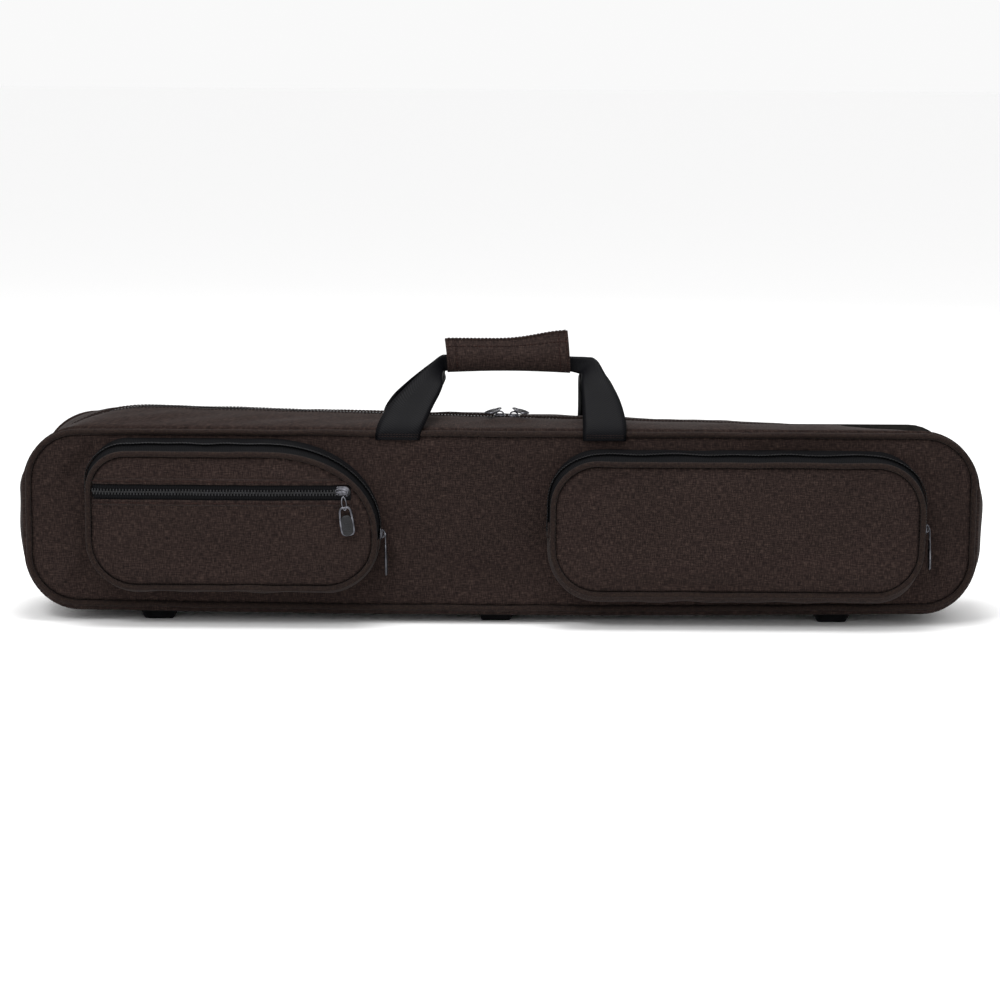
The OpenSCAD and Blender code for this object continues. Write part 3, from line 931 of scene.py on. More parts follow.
def spanning(piece: bpy.types.Object, finish: Finish, bodies: tuple[str, str], start: Point, end: Point,
             slot: str, *nodes: str) -> bpy.types.Object:
    """Dresses a piece of cloth that lies across two bodies, and bakes its place into its points.

    Args:
        piece: The object.
        finish: Its finish.
        bodies: The body before the fold and the body after it.
        start: Where the cloth begins to turn; not used.
        end: Where it has turned; not used.
        slot: The record's material slot; not used.
        nodes: The frame's nodes that it stands for.

    Returns:
        The same object.
    """
    piece.data.materials.clear()
    piece.data.materials.append(finish.material())
    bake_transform(piece)
    if nodes:
        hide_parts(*nodes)
    log.info("%s spans %s and %s", piece.name, *bodies)
    return piece


# ---------------------------------------------------------------- half shells


class Half(Enum):
    """A half shell: its name, and the way it faces from the middle."""

    FRONT = ("front", -1.0)
    REAR = ("rear", 1.0)


@dataclass
class Shell:
    """A padded half shell: panel, piping, gusset, main zip side, feet and lining."""

    half: Half
    zip_low: float = 60 * MM
    tape_width: float = 6.4 * MM
    piping_radius: float = 2.6 * MM
    panel_puff: float = 3.5 * MM
    feet: tuple[float, ...] = (-311 * MM, -4 * MM, 302 * MM)
    slump: float = 14 * MM
    end_fall: float = 6 * MM
    foot_depth: float = 36.8 * MM
    gusset_sheet: float = 3.2 * MM
    panel_sheet: float = 2.4 * MM
    panel_inset: float = 3.2 * MM
    lining_inset: float = 7.2 * MM
    quilt: float = 38 * MM

    # Rings of a foot from its flange down, in millimetres: height, half length and half depth
    FOOT_RINGS = ((10.5, 15, 8), (8.9, 19.5, 10.8), (7.9, 19.5, 10.8), (7.5, 16.8, 9.2), (1.0, 13.4, 8.4),
                  (0.2, 12.8, 7.9), (0.0, 11.6, 7.0))
    # X of the seams across the base, two near each end
    BASE_SEAMS = (-371 * MM, -366 * MM, 366 * MM, 371 * MM)

    @property
    def name(self) -> str:
        """The half's name."""
        return self.half.value[0]

    @property
    def body(self) -> str:
        """The body that the shell's pieces ride on."""
        return f"{self.name}_shell"

    def depth(self, w: Array | float) -> Array:
        """Y of a distance from the middle plane."""
        return MIDDLE_Y + self.half.value[1] * np.asarray(w)

    def sag(self, x: Array, z: Array, w: Array) -> Array:
        """How far the cloth has sunk: the rear of the top falls towards the right end.

        Args:
            x: Places along the case.
            z: Heights of the places.
            w: Their distances from the middle plane.

        Returns:
            The fall at each place.
        """
        end = self.end_fall * smooth(x, 295 * MM, 376 * MM) * smooth(z, 90 * MM, 160 * MM)
        if self.half is Half.FRONT:
            return end * (1 - smooth(w / HALF_DEPTH, 0, 0.9))
        behind = smooth(w / HALF_DEPTH, 0, 1) * 0.85 + 0.15
        return end + self.slump * smooth(x, -60 * MM, 400 * MM) * smooth(z, 90 * MM, 175 * MM) * behind

    def belly(self, x: Array, z: Array) -> Array:
        """How far the base hangs below its ends."""
        return 3.0 * MM * np.cos(math.pi * np.clip(x / (0.86 * (SEAM.right - SEAM.left)), -0.5, 0.5)
                                 ) * (1 - smooth(z, 12 * MM, 60 * MM)) * smooth(z, 3 * MM, 12 * MM)

    def wall(self, t: Array, inset: float = 0.0, plain: bool = False) -> tuple[Array, Array]:
        """The gusset's surface: a blend from the seam line to the crown line, bowed out by a half sine.

        Args:
            t: Places from the panel, at 0, to the middle plane, at 1.
            inset: How far the surface lies inside the cloth.
            plain: Whether to leave out the bow and the ripples.

        Returns:
            Points and outward normals, each a row for every t.
        """
        seam, seam_out = SEAM.loop(1.2 * MM + inset)
        crown, crown_out = CROWN.loop(inset)
        t = np.asarray(t, float)
        t = (t[:, None] if t.ndim == 1 else t)[..., None]
        flat = seam[None] * (1 - t) + crown[None] * t
        out = unit(seam_out[None] * (1 - t) + crown_out[None] * t)
        t = t[..., 0]
        w = (HALF_DEPTH - WALL_START) * (1 - t) + 0.3 * MM * t
        x, z = flat[..., 0], flat[..., 1]
        if not plain:
            up, down = np.clip(out[..., 1], 0, 1), np.clip(-out[..., 1], 0, 1)
            ends = 1 - up - down
            tall = smooth(z, 20 * MM, 90 * MM) * (1 - smooth(z, 125 * MM, 175 * MM))
            rise = up * (2.4 + 1.4 * smooth(x, -0.1, 0.2)) + ends * (2.4 + 5.6 * tall) + down * 5.0
            rise = rise * (1 - 0.6 * np.clip(2 * np.abs(out[..., 0] * out[..., 1]), 0, 1) * (z > 90 * MM))
            bow = np.sin(math.pi * np.clip(t, 0, 1) ** (0.85 - 0.4 * down)) ** 0.75
            # Behind the piping the seam allowance makes a narrow roll, then a stitched trough
            roll = 2.0 * MM * np.exp(-(((t - 0.045) / 0.02) ** 2))
            trough = 2.4 * MM * np.exp(-(((t - 0.095) / 0.014) ** 2)) - roll
            around = np.arange(flat.shape[1])[None] * 6 * MM
            ripple = Ripple(0.55 * MM, 70 * MM, 3 + int(self.half is Half.REAR)).at(around, w * 2)
            corner = Ripple(0.7 * MM, 26 * MM, 8).at(around, 0 * w) * (1 - np.abs(up - 0.6) * 2).clip(0, 1)
            lift = rise * MM * bow + (ripple + corner) * np.sin(math.pi * t) * (1 - down * 0.7) - trough
            x, z = x + lift * out[..., 0], z + lift * out[..., 1]
        z = z - self.sag(x, z, w) - self.belly(x, z)
        points = np.stack([x, self.depth(w) + 0 * x, z], -1)
        return points, np.stack([out[..., 0], 0 * x, out[..., 1]], -1)

    def crown_line(self, w: float, drop: float = 0.0) -> tuple[Array, Array]:
        """The part of the crown that carries the zip.

        Args:
            w: Distance from the middle plane.
            drop: How far the line lies inside the crown.

        Returns:
            Its points and outward normals.
        """
        points, out = CROWN.loop(drop)
        keep = np.flatnonzero(points[:, 1] > self.zip_low)
        x, z = points[keep, 0], points[keep, 1]
        z = z - self.sag(x, z, np.full_like(x, w))
        out = out[keep]
        line = np.stack([x, np.full_like(x, float(self.depth(w))), z], 1)
        return line, np.stack([out[:, 0], 0 * x, out[:, 1]], 1)

    def gusset(self) -> None:
        """The cloth round the top, ends and base, with a hem beside the zip."""
        crown = CROWN.loop()[0]
        span = HALF_DEPTH - WALL_START
        hem = 1 - (self.tape_width + 0.2 * MM) / span
        end = np.where(crown[:, 1] > self.zip_low, hem, 0.995)
        t = np.concatenate([np.linspace(0, 0.13, 14), np.linspace(0.16, 1, 17)])
        t = t[:, None] * end[None, :]
        points, out = self.wall(t)
        lip = self.wall(t[-1:] * 0.999)[0] - 1.6 * MM * out[-1:]
        points = np.concatenate([points, lip])
        skin = grid(points, wrap_columns=True).facing_from(CORE)
        piece = thicken(skin.make(f"{self.name}_gusset_cloth"), self.gusset_sheet)
        finished(piece, CLOTH, self.body, "heather_cloth", f"{self.name}_gusset", f"{self.name}_base_strip")
        seam_t = np.full((1, len(crown)), hem - 3 * MM / span)
        line, normal = self.wall(seam_t)
        keep = np.flatnonzero(crown[:, 1] > self.zip_low + 6 * MM)
        rows = stitches(line[0, keep] + 0.2 * MM * normal[0, keep], normal[0, keep])
        finished(rows.make(f"{self.name}_hem_stitches"), DARK_THREAD, self.body, "heather_cloth")
        self.base_seams()

    def base_seams(self) -> None:
        """Double stitching where the base strip joins the gusset near each end."""
        t = np.linspace(0.04, 0.97, 40)
        points, out = self.wall(t)
        low = CROWN.loop()[0][:, 1] < 20 * MM
        rows = []
        for x in self.BASE_SEAMS:
            near = np.where(low, np.abs(CROWN.loop()[0][:, 0] - x), 1.0).argmin()
            line = points[:, near].copy()
            line[:, 0] = x
            rows.append(stitches(line + STITCH_LIFT * out[:, near], out[:, near]))
        finished(joined(rows).make(f"{self.name}_base_stitches"), THREAD, self.body, "heather_cloth")

    def panel(self, creases: Sequence[Crease]) -> None:
        """The panel, crowned away from its piping, with soft folds.

        Args:
            creases: Folds pulled into the cloth.
        """
        x, z = SEAM.field(self.panel_inset, 220, 56)
        off = SEAM.edge_distance(x, z, self.panel_inset)
        puff = self.panel_puff * (1 - np.exp(-off / (16 * MM))) + 4.4 * MM * smooth(off, 0, 4.5 * MM)
        puff += Ripple(1.3 * MM, 120 * MM, 11).at(x, z) * smooth(off, 0, 20 * MM)
        puff += Ripple(0.45 * MM, 42 * MM, 12).at(x, z) * smooth(off, 0, 12 * MM)
        for crease in creases:
            puff += crease.at(x, z) * smooth(off, 0, 8 * MM)
        w = HALF_DEPTH - 5.2 * MM + puff
        skin = flat_skin(x, self.depth(w), z - self.sag(x, z, w) - self.belly(x, z))
        skin = skin.facing_along((0, self.half.value[1], 0))
        piece = thicken(skin.make(f"{self.name}_panel_cloth"), self.panel_sheet)
        finished(piece, CLOTH, self.body, "heather_cloth", f"{self.name}_panel")

    def piping(self) -> None:
        """A corded edge round the panel."""
        ring, out = SEAM.loop(2.4 * MM)
        wander = Ripple(0.25 * MM, 60 * MM, 21).at(np.arange(len(ring)) * 6 * MM, 0.0)
        x, z = ring[:, 0] + wander * out[:, 0], ring[:, 1] + wander * out[:, 1]
        w = np.full_like(x, HALF_DEPTH - 0.4 * MM)
        path = np.stack([x, self.depth(w), z - self.sag(x, z, w) - self.belly(x, z)], 1)
        cord = tube(path, self.piping_radius, BACK, 12, closed=True)
        finished(cord.make(f"{self.name}_piping_cord"), PIPING, self.body, "heather_cloth",
                 f"{self.name}_piping")

    def main_zip(self) -> None:
        """This half's tape and its row of coil teeth, round the top and both ends."""
        rows = [self.crown_line(w, drop)[0] for w, drop in (
            (self.tape_width + 3 * MM, 3.4 * MM), (self.tape_width, 2.2 * MM), (3 * MM, 1.7 * MM),
            (0.5 * MM, 1.5 * MM))]
        skin = grid(np.stack(rows)).facing_from(CORE)
        piece = thicken(skin.make(f"{self.name}_main_tape"), TAPE_SHEET)
        finished(piece, ZIP_TAPE, self.body, "zip_tape", f"{self.name}_zip_tape")
        line, out = self.crown_line(0.0, 0.7 * MM)
        across = np.broadcast_to(BACK * self.half.value[1], line.shape)
        teeth = coil_side(line, out, across, MAIN_PITCH, 3.6 * MM, 0.0 if self.half is Half.FRONT else 0.5)
        finished(teeth.make(f"{self.name}_main_coil"), COIL, self.body, "zip_tape")

    def feet_row(self) -> None:
        """Moulded feet: rounded blocks that narrow downwards from a thin flange."""
        sides = 40
        ring_x, ring_y = superellipse(6, sides)
        rings = [np.stack([a * MM * ring_x, b * MM * ring_y, np.full(sides, z * MM)], 1)
                 for z, a, b in self.FOOT_RINGS]
        foot = capped(grid(np.stack(rings), wrap_columns=True), len(rings), sides)
        y = float(self.depth(self.foot_depth))
        feet = [Skin(foot.points + np.array([x, y, 0]), foot.faces, foot.uvs).facing_from((x, y, 5 * MM))
                for x in self.feet]
        finished(joined(feet).make(f"{self.name}_rubber_feet"), RUBBER, self.body, "foot_rubber",
                 f"{self.name}_feet")

    def lining(self) -> None:
        """The lining: a quilted back and plain walls inside the gusset."""
        x, z = SEAM.field(self.lining_inset, 240, 60)
        off = SEAM.edge_distance(x, z, self.lining_inset)
        rows = [np.sin(math.pi * (x + way * z) / self.quilt) for way in (1, -1)]
        diamond = np.abs(rows[0] * rows[1]) ** 0.5
        w = HALF_DEPTH - 8.4 * MM - 2.2 * MM * diamond * smooth(off, 0, 10 * MM)
        back = flat_skin(x, self.depth(w), z - self.sag(x, z, w)).facing_along((0, -self.half.value[1], 0))
        sheet = thicken(back.make(f"{self.name}_lining_back"), LINING_SHEET)
        finished(sheet, LINING, self.body, "lining_cloth", f"{self.name}_lining")
        points = self.wall(np.linspace(0.08, 0.94, 10), 6.6 * MM, plain=True)[0]
        sides = grid(points, wrap_columns=True).facing_from(CORE).flipped()
        finished(thicken(sides.make(f"{self.name}_lining_sides"), LINING_SHEET), LINING, self.body,
                 "lining_cloth")

    def build(self, creases: Sequence[Crease]) -> None:
        """Makes every piece of the half.

        Args:
            creases: Folds pulled into its panel.
        """
        self.panel(creases)
        self.piping()
        self.gusset()
        self.main_zip()
        self.feet_row()
        self.lining()


@dataclass
class Comb:
    """A foam comb that holds cue parts, with the elastic band across its channels."""

    name: str
    body: str
    node: str
    slots: Sequence[float]
    slot_width: float
    slot_depth: float
    facing: float

    def front(self, z: Array) -> Array:
        """How deep the comb's face is cut: round-bottomed channels with eased lips.

        Args:
            z: Heights on the face.

        Returns:
            The depths.
        """
        cut = np.zeros_like(z)
        half = self.slot_width / 2
        for centre in self.slots:
            over = np.abs(z - centre)
            flank = 1 - smooth(over, half - 0.8 * MM, half + 1.6 * MM)
            bowl = self.slot_depth - half + half * np.sqrt(np.clip(1 - (over / half) ** 2, 0, 1))
            cut = np.maximum(cut, flank * np.maximum(bowl, self.slot_depth - half))
        return cut

    def block(self) -> None:
        """The comb's cloth-covered foam: a height field over X and Z that closes on its back."""
        low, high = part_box(self.node)
        back, face = (low.y, high.y) if self.facing > 0 else (high.y, low.y)
        x = np.concatenate([[low.x, low.x], np.linspace(low.x + 0.6 * MM, high.x - 0.6 * MM, 9),
                            [high.x, high.x]])
        z = np.concatenate([[low.z, low.z], np.linspace(low.z + 0.4 * MM, high.z - 0.4 * MM, 230),
                            [high.z, high.z]])
        gx, gz = np.meshgrid(x, z)
        round_x = 2.5 * MM * (1 - smooth(np.minimum(gx - low.x, high.x - gx), -1 * MM, 4 * MM))
        round_z = 2.5 * MM * (1 - smooth(np.minimum(gz - low.z, high.z - gz), -1 * MM, 4 * MM))
        y = face - self.facing * (self.front(gz) + round_x + round_z)
        y[[0, -1], :] = back
        y[:, [0, -1]] = back
        points = np.stack([gx, y, gz], -1)
        skin = grid(points)
        rows, columns = gx.shape
        index = np.arange(rows * columns).reshape(rows, columns)
        rim = np.concatenate([index[0], index[1:, -1], index[-1, -2::-1], index[-2:0:-1, 0]])
        skin = Skin(skin.points, skin.faces + [rim[None, ::-1]], skin.uvs + [np.zeros((1, len(rim), 2))])
        skin = skin.facing_along((0, self.facing, 0))
        piece = skin.make(f"{self.name}_foam")
        finished(piece, VELOUR, self.body, "foam", self.node)

    def band(self) -> Skin:
        """The elastic band over the channels, drawn in a little over each one."""
        low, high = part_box(self.node)
        face = high.y if self.facing > 0 else low.y
        z = np.linspace(low.z + 3 * MM, high.z - 3 * MM, 90)
        dip = np.minimum(self.front(z), 3 * MM) * 0.6
        y = face + self.facing * (1.2 * MM - dip)
        middle = (low.x + high.x) / 2
        sides = [np.stack([np.full_like(z, middle + s * 12 * MM), y, z], 1) for s in (-1, 1)]
        return ribbon(sides[0], sides[1], 1.2 * MM)


# ---------------------------------------------------------------- pockets


@dataclass
class Pocket:
    """A piped front pocket: its face and piping cover both the pouch and the flap, and its zip opens the top.
    """

    name: str
    outline: Outline
    fold: tuple[tuple[float, float], tuple[float, float]]
    puff: float
    creases: Sequence[Crease]
    seed: int
    stand: float = 29 * MM
    zip_at: float = 0.44
    flare: float = 3.5 * MM
    sag: float = 4.0 * MM
    top_flare: float = 5.5 * MM
    cord: float = 2.5 * MM
    face_inset: float = 3 * MM
    middle_depth: float = 12 * MM
    fold_reach: float = 9 * MM

    @property
    def flap(self) -> str:
        """The body of the lifting part."""
        return f"{self.name}_pocket_flap"

    @property
    def rise(self) -> Array:
        """Unit vector in X and Z that points up, away from the fold."""
        (x0, z0), (x1, z1) = self.fold
        return unit(np.array([z0 - z1, x1 - x0]))

    def above(self, x: Array, z: Array) -> Array:
        """Height of places over the fold line."""
        return (x - self.fold[0][0]) * self.rise[0] + (z - self.fold[0][1]) * self.rise[1]

    def hinge_points(self, reach: float) -> tuple[Point, Point]:
        """Points between which the cloth turns.

        Args:
            reach: How far each lies from the fold.

        Returns:
            The point below the fold and the point above it.
        """
        middle = np.mean(self.fold, axis=0)
        y = PANEL_Y - self.stand
        low, high = middle - self.rise * reach, middle + self.rise * reach
        return (low[0], y, low[1]), (high[0], y, high[1])

    def face_y(self, x: Array, z: Array) -> Array:
        """Y of the face: crowned from its piping towards the middle, with ripples and creases.

        Args:
            x: Places along the face.
            z: Heights of the places.

        Returns:
            Their Y.
        """
        off = self.outline.edge_distance(x, z, self.face_inset)
        crown = self.puff * (1 - np.exp(-off / (20 * MM))) + 3.8 * MM * smooth(off, 0, 4.5 * MM)
        crown += Ripple(1.3 * MM, 95 * MM, self.seed).at(x, z) * smooth(off, 0, 22 * MM)
        crown += Ripple(0.4 * MM, 34 * MM, self.seed + 1).at(x, z) * smooth(off, 0, 12 * MM)
        for crease in self.creases:
            crown += crease.at(x, z) * smooth(off, 0, 9 * MM)
        return PANEL_Y - self.stand - crown + 4.0 * MM

    def gusset_rows(self, t: Array, grow: float = 0.0) -> tuple[Array, Array]:
        """The pocket's wall: from the piping to the panel it flares, bows out, and sags along its base.

        Args:
            t: Places from the piping, at 0, to the panel, at 1.
            grow: How far the surface lies outside the wall.

        Returns:
            Points and normals, a row for every t.
        """
        ring, out = self.outline.loop(1.6 * MM)
        t = np.asarray(t, float)[:, None]
        down = np.clip(-out[:, 1], 0, 1)[None] ** 1.5
        around = np.arange(len(ring))[None] * self.outline.step
        up = np.clip(out[:, 1], 0, 1)[None] ** 1.5
        bow = (1.6 * MM + self.sag * down) * np.sin(math.pi * t) ** 0.8
        swell = (self.flare + self.top_flare * up) * t + bow + grow
        swell = swell + Ripple(0.6 * MM, 45 * MM, self.seed + 2).at(around, t * 0.05) * np.sin(math.pi * t)
        y = PANEL_Y - (self.stand - 1.5 * MM) * (1 - t) + 0.5 * MM * t
        points = np.stack(np.broadcast_arrays(
            ring[None, :, 0] + swell * out[None, :, 0], y, ring[None, :, 1] + swell * out[None, :, 1]), -1)
        normals = np.broadcast_to(np.stack([out[:, 0], 0 * out[:, 0], out[:, 1]], 1)[None], points.shape)
        return points, normals

    def split(self) -> tuple[Array, Array]:
        """Loop places over the fold, then those under it. The runs share the places at their ends."""
        ring = self.outline.loop()[0]
        over = np.flatnonzero(self.above(ring[:, 0], ring[:, 1]) > 0)
        count = len(ring)
        under = np.arange(over[-1], over[0] + count + 1) % count
        return over, under

    def cloth(self) -> None:
        """The face, its corded edge, and the sewn lower wall."""
        low, high = self.hinge_points(self.fold_reach)
        bodies = ("front_shell", self.flap)
        x, z = self.outline.field(self.face_inset, 130, 60)
        face = flat_skin(x, self.face_y(x, z), z).facing_along((0, -1, 0))
        spanning(thicken(face.make(f"{self.name}_pocket_face"), 2.0 * MM), CLOTH, bodies, low, high,
                 "heather_cloth", f"{self.name}_pouch", f"{self.name}_flap")
        ring, out = self.outline.loop(2.2 * MM)
        wander = Ripple(0.3 * MM, 50 * MM, self.seed + 5).at(np.arange(len(ring)) * self.outline.step, 0.0)
        path = np.stack([ring[:, 0] + wander * out[:, 0], np.full(len(ring), PANEL_Y - self.stand - 0.4 * MM),
                         ring[:, 1] + wander * out[:, 1]], 1)
        cord = tube(path, self.cord, BACK, 12, closed=True)
        spanning(cord.make(f"{self.name}_pocket_piping"), PIPING, bodies, low, high, "heather_cloth",
                 f"{self.name}_pouch_piping", f"{self.name}_flap_piping")
        under = self.split()[1]
        points = self.gusset_rows(np.linspace(0, 1, 12))[0][:, under]
        wall = grid(points).facing_from((path[:, 0].mean(), PANEL_Y - self.middle_depth, path[:, 2].mean()))
        finished(thicken(wall.make(f"{self.name}_pocket_wall"), 1.6 * MM), CLOTH, "front_shell",
                 "heather_cloth")

    def zip(self) -> None:
        """Two tapes and two rows of coil teeth over the top, and cloth tabs over the zip's ends."""
        over, _ = self.split()
        centre = (self.outline.left + self.outline.right) / 2, PANEL_Y - self.middle_depth, self.fold[0][1]
        seam = 0.6 * MM / self.stand
        for side, body, part, span in (("outer", self.flap, "zip_outer", (0.0, self.zip_at - seam)),
                                       ("inner", "front_shell", "zip_inner", (self.zip_at + seam, 1.0))):
            points = self.gusset_rows(np.linspace(*span, 6))[0][:, over]
            tape = grid(points).facing_from(centre)
            finished(thicken(tape.make(f"{self.name}_pocket_tape_{side}"), 0.9 * MM), ZIP_TAPE, body,
                     "zip_tape", f"{self.name}_{part}")
            line, out = self.gusset_rows(np.array([self.zip_at]), 1.3 * MM)
            way = np.broadcast_to(BACK * (-1.0 if side == "outer" else 1.0), line[0, over].shape)
            teeth = coil_side(line[0, over], out[0, over], way, SMALL_PITCH, 4.2 * MM,
                              0.0 if side == "outer" else 0.5)
            finished(teeth.make(f"{self.name}_pocket_coil_{side}"), COIL, body, "zip_tape")
        line, out = self.gusset_rows(np.linspace(0.2, 0.72, 5), 0.7 * MM)
        tabs = []
        for end in (over[0], over[-1]):
            near = (end + np.arange(-2, 2)) % line.shape[1]
            tabs.append(grid(line[:, near]).facing_from(centre))
        finished(thicken(joined(tabs).make(f"{self.name}_pocket_zip_tabs"), 1.4 * MM), CLOTH, "front_shell",
                 "heather_cloth")

    def build(self) -> None:
        """Makes every piece of the pocket."""
        self.cloth()
        self.zip()


@dataclass
class FaceZip:
    """The straight zip across the left pocket's face, between two stitched folds of cloth."""

    pocket: Pocket
    left: float = -364 * MM
    right: float = -133.5 * MM
    height: float = 124.3 * MM
    half: float = 7.4 * MM

    def strip(self, low: float, high: float, lift: float, rows: int = 4) -> Array:
        """Points of a strip that lies on the pocket's face.

        Args:
            low: Its low edge.
            high: Its high edge.
            lift: How far it stands off the face.
            rows: Points across it.

        Returns:
            The points, rows by columns by three.
        """
        x, z = np.meshgrid(np.linspace(self.left, self.right, 90), np.linspace(low, high, rows))
        return np.stack([x, self.pocket.face_y(x, z) - lift, z], -1)

    def build(self) -> None:
        """Makes the tape, both rows of teeth, the folded edges and their stitching."""
        z, body = self.height, self.pocket.flap
        tape = grid(self.strip(z - self.half, z + self.half, 0.5 * MM)).facing_along((0, -1, 0))
        finished(thicken(tape.make("face_zip_tape"), TAPE_SHEET), ZIP_TAPE, body, "zip_tape", "left_face_zip")
        line = self.strip(z, z, 1.3 * MM, 2)[0]
        out = np.broadcast_to(-BACK, line.shape)
        for side, way, phase in (("upper", UP, 0.0), ("lower", -UP, 0.5)):
            teeth = coil_side(line, out, np.broadcast_to(way, line.shape), SMALL_PITCH, 3.6 * MM, phase)
            finished(teeth.make(f"face_zip_coil_{side}"), COIL, body, "zip_tape")
        folds, seams = [], []
        for sign in (-1, 1):
            edge = z + sign * self.half
            rows = np.stack([self.strip(edge + sign * off * MM, edge + sign * off * MM, lift * MM, 2)[0]
                             for off, lift in ((-0.6, 0.3), (-0.5, 1.4), (1.2, 1.6), (3.4, 1.2), (4.6, 0.1))])
            folds.append(grid(rows).facing_along((0, -1, 0)))
            seam = self.strip(edge + sign * 2.2 * MM, edge + sign * 2.2 * MM, 1.7 * MM, 2)[0]
            seams.append(stitches(seam, np.broadcast_to(-BACK, seam.shape)))
        finished(thicken(joined(folds).make("face_zip_folds"), 0.5 * MM), CLOTH, body, "heather_cloth")
        finished(joined(seams).make("face_zip_stitches"), THREAD, body, "heather_cloth")


# ---------------------------------------------------------------- sliders and pulls


@dataclass
class Slider:
    """A zip slider: a shield-shaped body in two layers with a bridge that the pull hangs on."""

    name: str
    node: str
    centre: Point
    along: Point
    out: Point
    length: float = 11 * MM
    width: float = 8.5 * MM

    def build(self) -> None:
        """Makes the slider where the frame has it."""
        base = plate(self.length, self.width, 1.3 * MM, 3.0)
        top = plate(self.length * 0.82, self.width * 0.66, 1.2 * MM, 2.6)
        top.points = top.points + np.array([0, 0, 1.25 * MM])
        t = np.linspace(0, math.pi, 12)
        arch = np.stack([np.cos(t) * self.length * 0.3, 0 * t, 2.2 * MM + np.sin(t) * 2.2 * MM], 1)
        bridge = tube(arch, 0.75 * MM, (0, 1, 0), 8, flat=1.6)
        along, out = unit(np.array(self.along)), unit(np.array(self.out))
        skin = (base + top + bridge).placed(self.centre, (along, np.cross(out, along), out))
        finished(skin.make(f"{self.name}_slider_body"), GUNMETAL, self.node, "gunmetal", self.node)


@dataclass
class Pull:
    """A pull: a wire link, a metal frame with a window, and a moulded tip."""

    name: str
    node: str
    pivot: Point
    down: Point
    out: Point
    length: float
    width: float = 10 * MM
    tip: float = 0.62

    def build(self) -> None:
        """Makes the pull where the frame has it."""
        body = self.length * 0.78
        start = self.length - body
        sides = 40
        ring_x, ring_y = superellipse(5, sides)
        taper = 0.9 + 0.1 * smooth(np.cos(np.linspace(0, 2 * math.pi, sides, endpoint=False)), -1, 0.4)
        rim = np.stack([start + body / 2 + (body / 2 - 1 * MM) * ring_x,
                        (self.width / 2 - 1 * MM) * ring_y * taper, np.full(sides, 0.9 * MM)], 1)
        edge = tube(rim, 1.05 * MM, (0, 0, 1), 8, closed=True, flat=0.8)
        bar = tube(np.array([[start + body * 0.42, y, 0.9 * MM] for y in
                             np.linspace(-0.42, 0.42, 5) * self.width]), 0.8 * MM, (0, 0, 1), 8)
        link_t = np.linspace(0, 2 * math.pi, 28, endpoint=False)
        link = tube(np.stack([start * 0.62 + (start * 0.62 + 1.4 * MM) * np.cos(link_t),
                              2.0 * MM * np.sin(link_t), 0 * link_t + 0.9 * MM], 1), 0.6 * MM, (0, 0, 1), 6,
                    closed=True)
        grip = plate(body * self.tip + 2 * MM, self.width * 0.8, 2.6 * MM, 3.2)
        grip.points = grip.points + np.array([self.length - body * self.tip / 2 - 1.2 * MM, 0, -0.3 * MM])
        places = np.zeros((3, 3))
        places[:, 0] = self.length - body * self.tip * np.array([0.3, 0.5, 0.7])
        places[:, 2] = 2.3 * MM
        ribs = repeated(lens(self.width * 0.5, 0.9 * MM, 0.9 * MM), places, np.tile(BACK, (3, 1)),
                        np.tile(UP, (3, 1)))
        down, out = unit(np.array(self.down)), unit(np.array(self.out))
        axes = (down, np.cross(out, down), out)
        metal = (edge + bar + link).placed(self.pivot, axes)
        finished(metal.make(f"{self.name}_pull_frame"), GUNMETAL, self.node, "gunmetal", self.node)
        soft = (grip + ribs).placed(self.pivot, axes)
        finished(soft.make(f"{self.name}_pull_tip"), SOFT_TIP, self.node, "gunmetal")


# ---------------------------------------------------------------- handles


